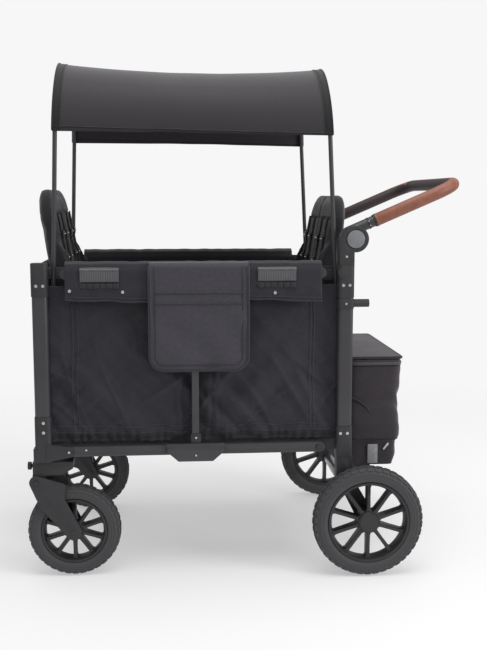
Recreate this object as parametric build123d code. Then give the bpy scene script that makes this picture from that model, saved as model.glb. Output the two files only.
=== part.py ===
from build123d import *

import math
import os

# Folding two-seat pull wagon, in millimetres. +Z is up, +X points to the push handle, and the near
# side is -Y. The model is built about the middle of its four posts and moved, at the end, so that
# the origin is the bottom centre of its box. Places across the wagon are given as distances from
# the middle plane, and each side takes its own sign.

# Frame
POST_SPAN = 681.0  # front post to rear post, centre to centre
POST_SIZE = 34.0
POST_CORNER = 8.0
POST_WALL = 2.0
POST_Y = 253.0  # middle plane to post centre
FRONT_POST_BOTTOM = 300.0
REAR_POST_BOTTOM = 292.0
TOP_HEIGHT = 716.0  # top of the front corner brackets
REAR_DROP = 7.0  # the rear corner brackets and bow sit this much lower
SLEEVE_WALL = 1.5
SLEEVE_HEIGHT = 73.0
CAP_THICK = 4.0
FOOT_BOTTOM = 270.0
FRONT_FOOT_TOP = 373.0
REAR_FOOT_TOP = 340.0
FOOT_LIP = 4.0  # how far the front casting stands ahead of its sleeve
FOOT_CORNER = 6.0
FOOT_CHEEK_THICK = 3.0  # outer plate of the front casting over the rail's end
FOOT_CHEEK_LAP = 1.0  # how deep it sits into the sleeve's wall
FOOT_CHEEK_REACH = 8.6  # past the rail pivot
MOULD_LAP = 0.5  # how deep a joined rib runs into the wall it stands on

# Fold linkage
PIVOT_INSET = 57.0  # post centre to the outer rail pivot
PLATE_PIVOT = 59.0  # middle of the wagon to each centre pivot
RAIL_HEIGHT = 293.5  # pivot line of the bottom rails
RAIL_TALL = 22.5
RAIL_DEEP = 25.0
RAIL_Y = 257.5  # middle plane to rail centre
TOP_RAIL_DROP = 24.0  # bracket top to the pivot line of the top rails
PIN_RADIUS = 5.0
PIN_HEAD_LIP = 3.0
PIN_HEAD_THICK = 1.5
PIN_CLEARANCE = 0.05
OPEN_PIVOT_CLEARANCE = 0.6
PLATE_THICK = 6.0
PLATE_TALL = 41.0
PLATE_END = 6.0  # centre pivot to the end of its plate
PLATE_TAPER = 26.0
PLATE_RISE = 15.0
CROSS_PLATE_BELOW = 10.0
CROSS_PLATE_ABOVE = 8.0
CENTRE_BAR = 16.0
CENTRE_BAR_DROP = 20.0
EAR_THICK = 8.0
EAR_RADIUS = 12.0

# Wheels
REAR_WHEEL_RADIUS = 127.0
REAR_TYRE_TALL = 34.0
REAR_TYRE_WIDE = 45.0
REAR_WHEEL_Y = 298.5
REAR_AXLE_BEHIND = 50.4  # rear post centre to axle
FRONT_WHEEL_RADIUS = 105.6
FRONT_TYRE_TALL = 31.6
FRONT_TYRE_WIDE = 44.6
TYRE_SHOULDER = 13.0
BEAD_TALL = 10.0
BEAD_INSET = 4.0  # tyre side to bead side
AXLE_END_INSET = 9.0  # tyre's outer side to the axle's end
CASTER_Y = 240.3
CASTER_TRAIL = 63.5
AXLE_RADIUS = 8.0
AXLE_TUBE_RADIUS = 13.0
FRONT_AXLE_RADIUS = 6.0
SPOKES = 10
SPOKE_THICK = 8.6
SPOKE_INSET = 11.0
SPOKE_LAP = 2.0
RIM_INSET = 5.0
RIM_WALL = 7.0
HUB_RADIUS = 25.0
FRONT_HUB_RADIUS = 20.0
HUB_WALL = 4.0
REAR_ARM_IN = 14.0  # post centre to the arm's inner face
REAR_ARM_OUT = 15.0
AXLE_BOSS_RADIUS = 21.0

# Casters
CASTER_GAP = 1.0
BEARING_HALF = 16.0
KINGPIN_RADIUS = 6.0
KINGPIN_LONG = 24.0
KINGPIN_END_GAP = 1.0
HEAD_HALF_WIDE = 22.0
HEAD_FORWARD = 26.0
HEAD_BEHIND = 64.0
HEAD_TALL = 31.0
FORK_BOSS_RADIUS = 13.0
FORK_BOLT_REACH = 34.0
FORK_ARM_THICK = 5.0
FORK_TYRE_GAP = 3.7
FORK_TOP_RADIUS = 15.0
FORK_SHOULDER = (58.0, 11.0, 8.0)  # behind and below the pivot, radius
FORK_WAIST = (33.4, 44.1, 28.6)
FORK_TIP_RADIUS = 18.0
FORK_PIVOT_FORWARD = 18.5  # ahead of the swivel axis
FORK_PIVOT_DROP = 46.0  # below the foot's bearing face
FRONT_AXLE_PROUD = 8.0
LOCK_RADIUS = 4.0
LOCK_DROP = 13.0
LOCK_DEPTH = 14.0  # housing front to the pin's end
KNOB_RADIUS = 9.0
KNOB_THICK = 8.0
KNOB_GAP = 5.0

# Push handle
HUB_BEHIND = 19.5  # rear post centre to the pivot
HUB_ABOVE = 51.0  # front bracket top to the pivot
HUB_DISC_RADIUS = 29.5
HANDLE_Y = 230.0
HANDLE_SLOPE = 23.3
HANDLE_RISE = 17.1  # tube centre line above the hub centre, square to the tube
HANDLE_REACH = 245.0  # pivot to the centre line of the cross bar
HANDLE_TUBE = 12.5
HANDLE_WALL = 1.5
HANDLE_BEND = 62.0
GRIP_RADIUS = 14.5
GRIP_START = 53.0  # pivot to the near end of the grip
HUB_PIN_RADIUS = 7.0
HUB_FACE_GAP = 0.5
UPRIGHT_IN = 9.0  # post centre to the upright's inner face
BUTTON_RADIUS = 20.0
BUTTON_CLEARANCE = 0.3
BUTTON_TRAVEL = 4.0
BUTTON_DEEP = 4.5
BUTTON_PROUD = 2.5

# Canopy
POLE_RADIUS = 5.0
POLE_TO_SLEEVE = 5.5  # pole centre to the side of the bracket's sleeve
POLE_DEPTH = 75.0  # bracket top to the pole's foot
BOW_SHOULDER = 344.0  # this and the two below are heights above the bracket top
BOW_TOP = 443.0
BOW_CORNER_Y = 140.0
SHOULDER_BEND = 150.0
CROWN_BEND = 148.0
FRONT_BOW_LEAN = 1.9  # degrees, towards the middle of the wagon
REAR_BOW_LEAN = 2.8
FRONT_POLE_INSET = 26.5  # post centre to the foot of the pole
REAR_POLE_INSET = 16.5
CANOPY_THICK = 3.0
CANOPY_GAP = 0.6
CANOPY_HEM = 286.0  # above the bracket top
CANOPY_OVERHANG = 12.0  # past the poles at their tops
CLIP_IN = 9.0
CLIP_OUT = 2.0
CLIP_ROOT_GAP = 7.0  # pole to the root block behind it
CLIP_BEYOND = 3.0  # how far the clips run past the post centre
CLIP_REACH = 53.5  # post centre to the tip of the lower clip
UPPER_CLIP = (36.0, 12.0)  # drops below the bracket top
LOWER_CLIP = (72.0, 57.0)
TOP_EAR_THICK = 9.0

# Soft goods
PANEL_THICK = 6.0
PANEL_GAP = 0.5
SIDE_PANEL_Y = 239.5
TUB_BOTTOM = 322.0
BENCH_HEIGHT = 440.0
BENCH_THICK = 35.0
BENCH_DEEP = 205.0
BENCH_FROM_POST = 6.0
FLOOR_BOTTOM = 311.0
FLOOR_THICK = 12.0
TUB_GAP = 2.5
PANEL_STEP = 4.0  # below the brackets, where the walls narrow
REAR_PANEL_INSET = 2.5  # outer face of the posts to the wall's outer face
FRONT_PANEL_INSET = 6.5
SEAT_HALF_WIDE = 190.0
SEAT_THICK = 34.0
SEAT_LEAN = 9.3
SEAT_LENGTH = 446.0
REAR_SEAT_SHORT = 14.0
SEAT_GAP = 10.0
FRONT_SEAT_FOOT = 70.5  # post centre to the foot of the back
REAR_SEAT_FOOT = 60.5
SEAT_CORNER = 80.0
WING_DEEP = 45.0
WING_THICK = 25.0
WING_LOW = 130.0
WING_CROWN = 190.0
WING_TOP_DROP = 86.0
FLAP_HALF_LONG = 112.0
FLAP_OFFSET = 9.0
FLAP_DROP = 4.0  # below the bracket top
FLAP_GAP = 2.0
FLAP_BOTTOM = 475.0
FLAP_CORNER = 33.0
FLAP_THICK = 6.0
BAG_DEEP = 134.0
BAG_HALF_WIDE = 195.0
BAG_TOP = 481.0
BAG_BOTTOM = 224.0
BAG_WALL = 5.0
BAG_GAP = 1.0
BAG_LID_THICK = 8.0

# Small parts
RIVET_RADIUS = 3.5
RIVET_PROUD = 1.5
PEG_RADIUS = 9.0
PEG_LONG = 36.5
PEG_DROP = 94.0  # below the bracket top
PEG_CLAMP_TALL = 22.0
PEDAL_REACH = 48.0
PEDAL_HALF_WIDE = 36.0
PEDAL_ARM_HALF = 18.0
PEDAL_COLLAR_RADIUS = 20.0
PEDAL_COLLAR_HALF = 22.0

NEAR = -1
FAR = 1
FRONT = -1
REAR = 1
SIDES = {"near": NEAR, "far": FAR}

POST_X = POST_SPAN / 2
PIVOT_X = POST_X - PIVOT_INSET
FACE_Y = POST_Y + POST_SIZE / 2 + SLEEVE_WALL  # outer face of the brackets
PLATE_Y = RAIL_Y + RAIL_DEEP / 2 + PANEL_GAP  # inner face of the centre plates
RAIL_INNER_Y = RAIL_Y - RAIL_DEEP / 2
HEAD_Y = RAIL_Y + RAIL_DEEP / 2 + 3 * PANEL_GAP  # under the pivot pin heads
TOP_RAIL_HEIGHT = TOP_HEIGHT - TOP_RAIL_DROP
REAR_AXLE_X = POST_X + REAR_AXLE_BEHIND
AXLE_Z = REAR_WHEEL_RADIUS
FORK_PIVOT_X = -POST_X - FORK_PIVOT_FORWARD
FORK_PIVOT_Z = FOOT_BOTTOM - FORK_PIVOT_DROP
HUB_X = POST_X + HUB_BEHIND
HUB_Z = TOP_HEIGHT + HUB_ABOVE
POLE_Y = POST_Y - POST_SIZE / 2 - SLEEVE_WALL - POLE_TO_SLEEVE
FRONT_POLE_X = POST_X - FRONT_POLE_INSET
REAR_POLE_X = POST_X - REAR_POLE_INSET
POLE_X = {FRONT: FRONT_POLE_X, REAR: REAR_POLE_X}
BOW_LEAN = {FRONT: FRONT_BOW_LEAN, REAR: REAR_BOW_LEAN}
POLE_BOTTOM = TOP_HEIGHT - POLE_DEPTH
SLEEVE_ROOT = POST_X - POST_SIZE / 2 - SLEEVE_WALL + MOULD_LAP
BAG_FRONT = POST_X + POST_SIZE / 2 + BAG_GAP


def block(x, y, z):
    """A box between pairs of limits along each axis."""
    sizes = [abs(high - low) for low, high in (x, y, z)]
    middle = [(low + high) / 2 for low, high in (x, y, z)]
    return Pos(*middle) * Box(*sizes)


def across(side, inner, outer):
    """Limits along Y between two distances from the middle plane."""
    return (min(side * inner, side * outer), max(side * inner, side * outer))


def rod(radius, start, end):
    """A round bar between two points."""
    reach = Vector(*end) - Vector(*start)
    plane = Plane(origin=start, z_dir=reach)
    return plane * Cylinder(radius, reach.length, align=(Align.CENTER, Align.CENTER, Align.MIN))


def cross_rod(radius, x, z, y):
    """A round bar along Y between two limits."""
    return rod(radius, (x, y[0], z), (x, y[1], z))


def profile(points, y):
    """A side-view outline, as (x, z) points, made solid between two limits along Y."""
    outline = Polyline(*[(x, y[0], z) for x, z in points], close=True)
    return extrude(make_face(outline), amount=y[1] - y[0], dir=(0, 1, 0))


def discs_hull(discs, y):
    """A plate whose outline wraps tightly round discs given as (x, z, radius)."""
    sketch = Sketch() + [Pos(x, z) * Circle(radius) for x, z, radius in discs]
    outline = make_hull(sketch.edges())
    plate = extrude(outline, amount=y[1] - y[0])
    return Pos(0, y[1], 0) * Rot(90, 0, 0) * plate


def post(end, side, bottom, top):
    """A rounded square tube standing at one corner."""
    outer = RectangleRounded(POST_SIZE, POST_SIZE, POST_CORNER)
    inner_size = POST_SIZE - 2 * POST_WALL
    inner = RectangleRounded(inner_size, inner_size, POST_CORNER - POST_WALL)
    return Pos(end * POST_X, side * POST_Y, bottom) * extrude(outer - inner, amount=top - bottom)


def sleeve(end, side, bottom, top):
    """A bracket wall wrapped round a post."""
    size = POST_SIZE + 2 * SLEEVE_WALL
    outer = RectangleRounded(size, size, POST_CORNER + SLEEVE_WALL)
    inner = RectangleRounded(POST_SIZE, POST_SIZE, POST_CORNER)
    return Pos(end * POST_X, side * POST_Y, bottom) * extrude(outer - inner, amount=top - bottom)


def ear(end, side, height, inner, outer, root):
    """An inward plate that carries a rail pivot pin, joined to a post sleeve."""
    heights = (height - EAR_RADIUS, height + EAR_RADIUS)
    plate = block((end * PIVOT_X, end * root), across(side, inner, outer), heights)
    boss = cross_rod(EAR_RADIUS, end * PIVOT_X, height, across(side, inner, outer))
    pin_end = HEAD_Y + PIN_HEAD_THICK
    pin = cross_rod(PIN_RADIUS, end * PIVOT_X, height, across(side, inner, pin_end))
    head = cross_rod(PIN_RADIUS + PIN_HEAD_LIP, end * PIVOT_X, height, across(side, HEAD_Y, pin_end))
    return plate + boss + pin + head


def foot_ear(end, side):
    """The ear of a foot casting, close inside the bottom rail."""
    outer = RAIL_INNER_Y - PANEL_GAP
    return ear(end, side, RAIL_HEIGHT, outer - EAR_THICK, outer, SLEEVE_ROOT)


def lean(shape, end):
    """Tip a bow's part towards the middle of the wagon about the foot of its poles."""
    foot = Pos(end * POLE_X[end], 0, POLE_BOTTOM)
    return foot * Rot(0, -end * BOW_LEAN[end], 0) * foot.inverse() * shape


def pole_bore(end, side, drop):
    """The hole that a canopy pole slides through."""
    radius = POLE_RADIUS + PIN_CLEARANCE
    start = (end * POLE_X[end], side * POLE_Y, POLE_BOTTOM - drop - POLE_DEPTH / 2)
    finish = (end * POLE_X[end], side * POLE_Y, POLE_BOTTOM - drop + 2 * POLE_DEPTH)
    return Pos(0, 0, -drop) * lean(Pos(0, 0, drop) * rod(radius, start, finish), end)


def top_bracket(end, side):
    """Corner bracket: capped post sleeve, two open clips for the canopy pole and the top rail pivot."""
    drop = REAR_DROP if end == REAR else 0.0
    top = TOP_HEIGHT - drop
    body = sleeve(end, side, top - SLEEVE_HEIGHT, top)
    ear_y = POLE_Y - CLIP_IN + MOULD_LAP
    body_x = POST_X + CLIP_BEYOND
    root_x = POLE_X[end] + CLIP_ROOT_GAP
    clip_y = across(side, POLE_Y - CLIP_IN, POLE_Y + CLIP_OUT)
    root_y = across(side, POLE_Y, POST_Y - POST_SIZE / 2 - SLEEVE_WALL + MOULD_LAP)
    for tip, (low, high) in ((PIVOT_X, UPPER_CLIP), (POST_X - CLIP_REACH, LOWER_CLIP)):
        heights = (top - low, top - high)
        body += block((end * tip, end * body_x), clip_y, heights)
        body += block((end * root_x, end * body_x), root_y, heights)
    body += ear(end, side, TOP_RAIL_HEIGHT, ear_y - TOP_EAR_THICK, ear_y, body_x)
    body -= pole_bore(end, side, drop)
    filling = extrude(RectangleRounded(POST_SIZE, POST_SIZE, POST_CORNER), amount=SLEEVE_HEIGHT + CAP_THICK)
    body -= Pos(end * POST_X, side * POST_Y, top - CAP_THICK - SLEEVE_HEIGHT) * filling
    size = POST_SIZE + 2 * SLEEVE_WALL
    cap = extrude(RectangleRounded(size, size, POST_CORNER + SLEEVE_WALL), amount=CAP_THICK)
    return body + Pos(end * POST_X, side * POST_Y, top - CAP_THICK) * cap


def front_foot(side):
    """Front corner casting: post sleeve, rail pivot and the swivel bearing of the caster."""
    body = sleeve(FRONT, side, FRONT_POST_BOTTOM, FRONT_FOOT_TOP)
    reach = POST_SIZE / 2 + SLEEVE_WALL
    base = block(
        (-POST_X - reach - FOOT_LIP, -POST_X + reach),
        across(side, CASTER_Y - BEARING_HALF, FACE_Y),
        (FOOT_BOTTOM, FRONT_POST_BOTTOM),
    )
    body += fillet(base.edges().filter_by(Axis.Z), FOOT_CORNER)
    body += foot_ear(FRONT, side)
    cheek_y = across(side, FACE_Y - FOOT_CHEEK_LAP, FACE_Y - FOOT_CHEEK_LAP + FOOT_CHEEK_THICK)
    body += profile(
        [
            (-POST_X + CLIP_ROOT_GAP, RAIL_HEIGHT + 19.5),
            (-PIVOT_X + FOOT_CHEEK_REACH, RAIL_HEIGHT + 10.5),
            (-PIVOT_X + FOOT_CHEEK_REACH, RAIL_HEIGHT - 10.5),
            (-POST_X + CLIP_ROOT_GAP, RAIL_HEIGHT - 22.5),
        ],
        cheek_y,
    )
    bolt_y = across(side, FACE_Y, FACE_Y + FOOT_CHEEK_THICK)
    body += cross_rod(PIN_RADIUS, -PIVOT_X, RAIL_HEIGHT, bolt_y)
    bearing = (-POST_X, side * CASTER_Y)
    start = (*bearing, FOOT_BOTTOM - CASTER_GAP)
    return body - rod(KINGPIN_RADIUS + PIN_CLEARANCE, start, (*bearing, FOOT_BOTTOM + KINGPIN_LONG))


def rear_foot(side):
    """Rear corner casting: post sleeve, rail pivot and the arm down to the axle."""
    body = sleeve(REAR, side, FOOT_BOTTOM, REAR_FOOT_TOP)
    half = POST_SIZE / 2
    arm_y = across(side, POST_Y - REAR_ARM_IN, POST_Y + REAR_ARM_OUT)
    arm = profile(
        [
            (POST_X - half, REAR_POST_BOTTOM),
            (POST_X + half, REAR_POST_BOTTOM),
            (POST_X + half + 6, AXLE_Z + 88),
            (REAR_AXLE_X + 16, AXLE_Z + 14),
            (REAR_AXLE_X - 14, AXLE_Z - 14),
            (POST_X - half, AXLE_Z + 92),
        ],
        arm_y,
    )
    body += arm + cross_rod(AXLE_BOSS_RADIUS, REAR_AXLE_X, AXLE_Z, arm_y)
    body += foot_ear(REAR, side)
    return body - cross_rod(AXLE_RADIUS, REAR_AXLE_X, AXLE_Z, across(side, 0, REAR_WHEEL_Y))


def rear_axle():
    """The fixed rear axle with its thicker tube between the feet."""
    end = REAR_WHEEL_Y + REAR_TYRE_WIDE / 2 - AXLE_END_INSET
    inner = POST_Y - REAR_ARM_IN
    shaft = cross_rod(AXLE_RADIUS, REAR_AXLE_X, AXLE_Z, (-end, end))
    tube = cross_rod(AXLE_TUBE_RADIUS, REAR_AXLE_X, AXLE_Z, (-inner, inner))
    return shaft + tube


def tyre(x, y, radius, tall, wide):
    """A round-shouldered tyre."""
    inner = radius - tall
    section = Pos(radius - tall / 2, 0) * RectangleRounded(tall, wide, TYRE_SHOULDER)
    core = Pos(inner + BEAD_TALL / 2, 0) * Rectangle(BEAD_TALL, wide - 2 * BEAD_INSET)
    ring = revolve(section + core, Axis.Y)
    return Pos(x, y, radius) * ring


def rim(x, side, y, radius, tall, wide, hub, bore, hub_wall):
    """A spoked rim; a hub wall above zero closes the outer end of its bore."""
    inner = radius - tall
    barrel = Cylinder(inner, wide - 2 * RIM_INSET) - Cylinder(inner - RIM_WALL, wide)
    hub_body = Cylinder(hub, wide)
    spoke_long = inner - RIM_WALL - hub + 2 * SPOKE_LAP
    spoke_wide = wide - 2 * SPOKE_INSET
    wheel = barrel + hub_body
    for index in range(SPOKES):
        spoke = Pos(hub - SPOKE_LAP + spoke_long / 2, 0, 0) * Box(spoke_long, SPOKE_THICK, spoke_wide)
        wheel += Rot(0, 0, 90 + index * 360 / SPOKES) * spoke
    wheel -= Pos(0, 0, -hub_wall) * Cylinder(bore, wide)
    return Pos(x, y, radius) * Rot(-90 * side, 0, 0) * wheel


def caster_head(side):
    """Swivelling caster housing with its kingpin, fork bolt and lock pin bore."""
    top = FOOT_BOTTOM - CASTER_GAP
    y = across(side, CASTER_Y - HEAD_HALF_WIDE, CASTER_Y + HEAD_HALF_WIDE)
    front = -POST_X - HEAD_FORWARD
    back = -POST_X + HEAD_BEHIND
    low = top - HEAD_TALL
    body = profile(
        [
            (front, top),
            (back, top),
            (back, top - HEAD_TALL / 2),
            (back - FORK_TOP_RADIUS - BEAD_TALL, low),
            (-POST_X + FOOT_LIP, low),
            (FORK_PIVOT_X + FORK_BOSS_RADIUS, FORK_PIVOT_Z),
            (front, FORK_PIVOT_Z),
        ],
        y,
    )
    body += cross_rod(FORK_BOSS_RADIUS, FORK_PIVOT_X, FORK_PIVOT_Z, y)
    bolt_y = across(side, CASTER_Y - FORK_BOLT_REACH, CASTER_Y + FORK_BOLT_REACH)
    body += cross_rod(PIN_RADIUS, FORK_PIVOT_X, FORK_PIVOT_Z, bolt_y)
    bearing = (-POST_X, side * CASTER_Y)
    tip = FOOT_BOTTOM + KINGPIN_LONG - KINGPIN_END_GAP
    body += rod(KINGPIN_RADIUS, (*bearing, low), (*bearing, tip))
    start = (front - KINGPIN_END_GAP, side * CASTER_Y, top - LOCK_DROP)
    finish = (front + LOCK_DEPTH + KINGPIN_END_GAP, side * CASTER_Y, top - LOCK_DROP)
    return body - rod(LOCK_RADIUS + PIN_CLEARANCE, start, finish)


def caster_lock(side):
    """Pull pin with a knob that locks the swivel straight."""
    z = FOOT_BOTTOM - CASTER_GAP - LOCK_DROP
    front = -POST_X - HEAD_FORWARD
    back = front - KNOB_GAP
    y = side * CASTER_Y
    pin = rod(LOCK_RADIUS, (back - KNOB_THICK / 2, y, z), (front + LOCK_DEPTH, y, z))
    return pin + rod(KNOB_RADIUS, (back - KNOB_THICK, y, z), (back, y, z))


def caster_fork(side):
    """Two blades joined by a bridge, with the front axle across their lower ends."""
    axle_x = -POST_X + CASTER_TRAIL
    knee_x = -POST_X + CASTER_TRAIL / 3
    pivot = (FORK_PIVOT_X, FORK_PIVOT_Z, FORK_TOP_RADIUS)
    shoulder = (FORK_PIVOT_X + FORK_SHOULDER[0], FORK_PIVOT_Z - FORK_SHOULDER[1], FORK_SHOULDER[2])
    waist = (FORK_PIVOT_X + FORK_WAIST[0], FORK_PIVOT_Z - FORK_WAIST[1], FORK_WAIST[2])
    tip = (axle_x, FRONT_WHEEL_RADIUS, FORK_TIP_RADIUS)
    gap = FRONT_TYRE_WIDE / 2 + FORK_TYRE_GAP
    body = None
    for low, high in ((-gap - FORK_ARM_THICK, -gap), (gap, gap + FORK_ARM_THICK)):
        y = across(side, CASTER_Y + low, CASTER_Y + high)
        blade = discs_hull([pivot, shoulder, waist], y) + discs_hull([waist, tip], y)
        body = blade if body is None else body + blade
    bridge_y = across(side, CASTER_Y - gap - MOULD_LAP, CASTER_Y + gap + MOULD_LAP)
    bridge_x = (knee_x - FORK_TIP_RADIUS, knee_x - 2)
    body += block(bridge_x, bridge_y, (FORK_PIVOT_Z - FORK_TOP_RADIUS, FORK_PIVOT_Z - 3))
    reach = gap + FORK_ARM_THICK + FRONT_AXLE_PROUD
    bore_y = across(side, CASTER_Y - reach, CASTER_Y + reach)
    body -= cross_rod(PIN_RADIUS + PIN_CLEARANCE, FORK_PIVOT_X, FORK_PIVOT_Z, bore_y)
    axle_y = across(side, CASTER_Y - gap - FRONT_AXLE_PROUD, CASTER_Y + gap + FRONT_AXLE_PROUD)
    return body + cross_rod(FRONT_AXLE_RADIUS, axle_x, FRONT_WHEEL_RADIUS, axle_y)


def rail(start, end, side, height, bores):
    """A flat-sided bar with round ends, bored for its pivot pins as (x, radius)."""
    y = across(side, RAIL_INNER_Y, RAIL_INNER_Y + RAIL_DEEP)
    half = RAIL_TALL / 2
    body = block((start, end), y, (height - half, height + half))
    body += cross_rod(half, start, height, y) + cross_rod(half, end, height, y)
    through = across(side, RAIL_Y - RAIL_DEEP, RAIL_Y + RAIL_DEEP)
    for x, radius in bores:
        body -= cross_rod(radius, x, height, through)
    return body


def bottom_rail(end, side):
    """One half of a folding bottom rail."""
    bore = PIN_RADIUS + PIN_CLEARANCE
    bores = [(end * PIVOT_X, bore), (end * PLATE_PIVOT, bore)]
    return rail(end * PLATE_PIVOT, end * PIVOT_X, side, RAIL_HEIGHT, bores)


def top_rail(end, side):
    """One half of a folding top rail; one of its pivots is the open one of the linkage."""
    snug = PIN_RADIUS + PIN_CLEARANCE
    loose = PIN_RADIUS + OPEN_PIVOT_CLEARANCE
    outer, inner = (snug, loose) if end == REAR else (loose, snug)
    bores = [(end * PIVOT_X, outer), (end * PLATE_PIVOT, inner)]
    return rail(end * PLATE_PIVOT, end * PIVOT_X, side, TOP_RAIL_HEIGHT, bores)


def centre_plate(side):
    """Hexagonal plate over the centre joint, with the pins the two rails turn on."""
    y = across(side, PLATE_Y, PLATE_Y + PLATE_THICK)
    half = PLATE_PIVOT + PLATE_END
    top = RAIL_HEIGHT + PLATE_RISE
    bottom = top - PLATE_TALL
    shoulder = RAIL_HEIGHT - 3
    narrow = half - PLATE_TAPER
    plate = profile(
        [(-half, top), (half, top), (half, shoulder), (narrow, bottom), (-narrow, bottom), (-half, shoulder)],
        y,
    )
    pin_y = across(side, RAIL_INNER_Y, PLATE_Y + PLATE_THICK + PIN_HEAD_THICK)
    for x in (-PLATE_PIVOT, PLATE_PIVOT):
        plate += cross_rod(PIN_RADIUS, x, RAIL_HEIGHT, pin_y)
    return plate


def centre_bar(side):
    """Upright bar of the centre strut with the cross plate for the top rails."""
    half = CENTRE_BAR / 2
    y = across(side, PLATE_Y - CENTRE_BAR, PLATE_Y)
    top = TOP_RAIL_HEIGHT + CROSS_PLATE_ABOVE
    bar = block((-half, half), y, (RAIL_HEIGHT - CENTRE_BAR_DROP, top))
    plate_y = across(side, PLATE_Y, PLATE_Y + PLATE_THICK - 2 * PANEL_GAP)
    half_plate = PLATE_PIVOT + PLATE_END
    body = bar + block((-half_plate, half_plate), plate_y, (TOP_RAIL_HEIGHT - CROSS_PLATE_BELOW, top))
    for x in (-PLATE_PIVOT, PLATE_PIVOT):
        body += cross_rod(PIN_RADIUS, x, TOP_RAIL_HEIGHT, across(side, RAIL_INNER_Y, PLATE_Y + MOULD_LAP))
    return body


def handle_upright(side):
    """Short tube above a rear post, ending in the round handle housing."""
    half = POST_SIZE / 2
    y = across(side, POST_Y - UPRIGHT_IN, FACE_Y)
    body = block((POST_X - half, POST_X + half), y, (TOP_HEIGHT - REAR_DROP, HUB_Z))
    low, high = HUB_Z - HUB_DISC_RADIUS + MOULD_LAP, HUB_Z + HUB_DISC_RADIUS - MOULD_LAP
    body += profile([(POST_X - half, HUB_Z), (HUB_X, low), (HUB_X, high), (POST_X, HUB_Z + half)], y)
    body += cross_rod(HUB_DISC_RADIUS, HUB_X, HUB_Z, y)
    recess = across(side, FACE_Y - BUTTON_DEEP - BUTTON_TRAVEL - PANEL_GAP, FACE_Y + BUTTON_PROUD)
    body -= cross_rod(BUTTON_RADIUS + BUTTON_CLEARANCE, HUB_X, HUB_Z, recess)
    pin_y = across(side, HANDLE_Y - HANDLE_TUBE, POST_Y - UPRIGHT_IN + MOULD_LAP)
    return body + cross_rod(HUB_PIN_RADIUS, HUB_X, HUB_Z, pin_y)


def handle_button(side):
    """Round release button in the handle housing."""
    return cross_rod(BUTTON_RADIUS, HUB_X, HUB_Z, across(side, FACE_Y - BUTTON_DEEP, FACE_Y + BUTTON_PROUD))


def handle_point(along, y):
    """A point on the plane of the push bar, by distance along it from the hub."""
    slope = math.radians(HANDLE_SLOPE)
    x = HUB_X - math.sin(slope) * HANDLE_RISE + math.cos(slope) * along
    z = HUB_Z + math.cos(slope) * HANDLE_RISE + math.sin(slope) * along
    return (x, y, z)


def handle_length():
    """Distance along the push bar from the hub to the cross bar."""
    slope = math.radians(HANDLE_SLOPE)
    return (HANDLE_REACH + math.sin(slope) * HANDLE_RISE) / math.cos(slope)


def handle_path(start):
    """U-shaped centre line of the push bar, from a distance along it."""
    end = handle_length()
    points = [
        handle_point(start, -HANDLE_Y),
        handle_point(end, -HANDLE_Y),
        handle_point(end, HANDLE_Y),
        handle_point(start, HANDLE_Y),
    ]
    return FilletPolyline(*points, radius=HANDLE_BEND)


def tube_on(path, outer, inner):
    """A round tube swept along a path; a zero inner radius makes it solid."""
    section = Plane(origin=path @ 0, z_dir=path % 0) * Circle(outer)
    body = sweep(section, path=path)
    if inner:
        hole = Plane(origin=path @ 0, z_dir=path % 0) * Circle(inner)
        body -= sweep(hole, path=path)
    return body


def handle_bar():
    """The bent push bar with the inner halves of its two hubs."""
    body = tube_on(handle_path(0), HANDLE_TUBE, HANDLE_TUBE - HANDLE_WALL)
    for side in SIDES.values():
        hub_y = across(side, HANDLE_Y - HANDLE_TUBE, POST_Y - UPRIGHT_IN - HUB_FACE_GAP)
        body += cross_rod(HUB_DISC_RADIUS - 1, HUB_X, HUB_Z, hub_y)
        bore_y = across(side, HANDLE_Y - 2 * HANDLE_TUBE, POST_Y)
        body -= cross_rod(HUB_PIN_RADIUS + PIN_CLEARANCE, HUB_X, HUB_Z, bore_y)
    return body


def handle_grip():
    """Stitched sleeve over the outer part of the push bar."""
    slope = math.radians(HANDLE_SLOPE)
    start = (GRIP_START + math.sin(slope) * HANDLE_RISE) / math.cos(slope)
    return tube_on(handle_path(start), GRIP_RADIUS, HANDLE_TUBE)


def arch_points(grow, foot):
    """Corner points of the bow outline, grown outwards, in the (y, z) plane."""
    side = POLE_Y + grow
    lean_in = math.atan2(POLE_Y - BOW_CORNER_Y, BOW_TOP - BOW_SHOULDER)
    shoulder = TOP_HEIGHT + BOW_SHOULDER + grow * math.tan(lean_in / 2)
    crown_y = BOW_CORNER_Y + grow * math.tan((math.pi / 2 - lean_in) / 2)
    crown = TOP_HEIGHT + BOW_TOP + grow
    return [
        (-side, foot),
        (-side, shoulder),
        (-crown_y, crown),
        (crown_y, crown),
        (side, shoulder),
        (side, foot),
    ]


def canopy_bow(end):
    """A bent round pole with both its legs, leaning a little inwards."""
    drop = REAR_DROP if end == REAR else 0.0
    points = [(end * POLE_X[end], y, z) for y, z in arch_points(0, POLE_BOTTOM)]
    radii = [SHOULDER_BEND, CROWN_BEND, CROWN_BEND, SHOULDER_BEND]
    path = FilletPolyline(*points, radius=radii)
    return Pos(0, 0, -drop) * lean(tube_on(path, POLE_RADIUS, 0), end)


def arch_face(grow, x):
    """The closed area under the bow outline, grown outwards, at one place along the wagon."""
    points = [(x, y, z) for y, z in arch_points(grow, TOP_HEIGHT + CANOPY_HEM)]
    radii = [SHOULDER_BEND + grow, CROWN_BEND + grow, CROWN_BEND + grow, SHOULDER_BEND + grow]
    curve = FilletPolyline(*points, radius=radii)
    return make_face(curve + Line(points[-1], points[0]))


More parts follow.
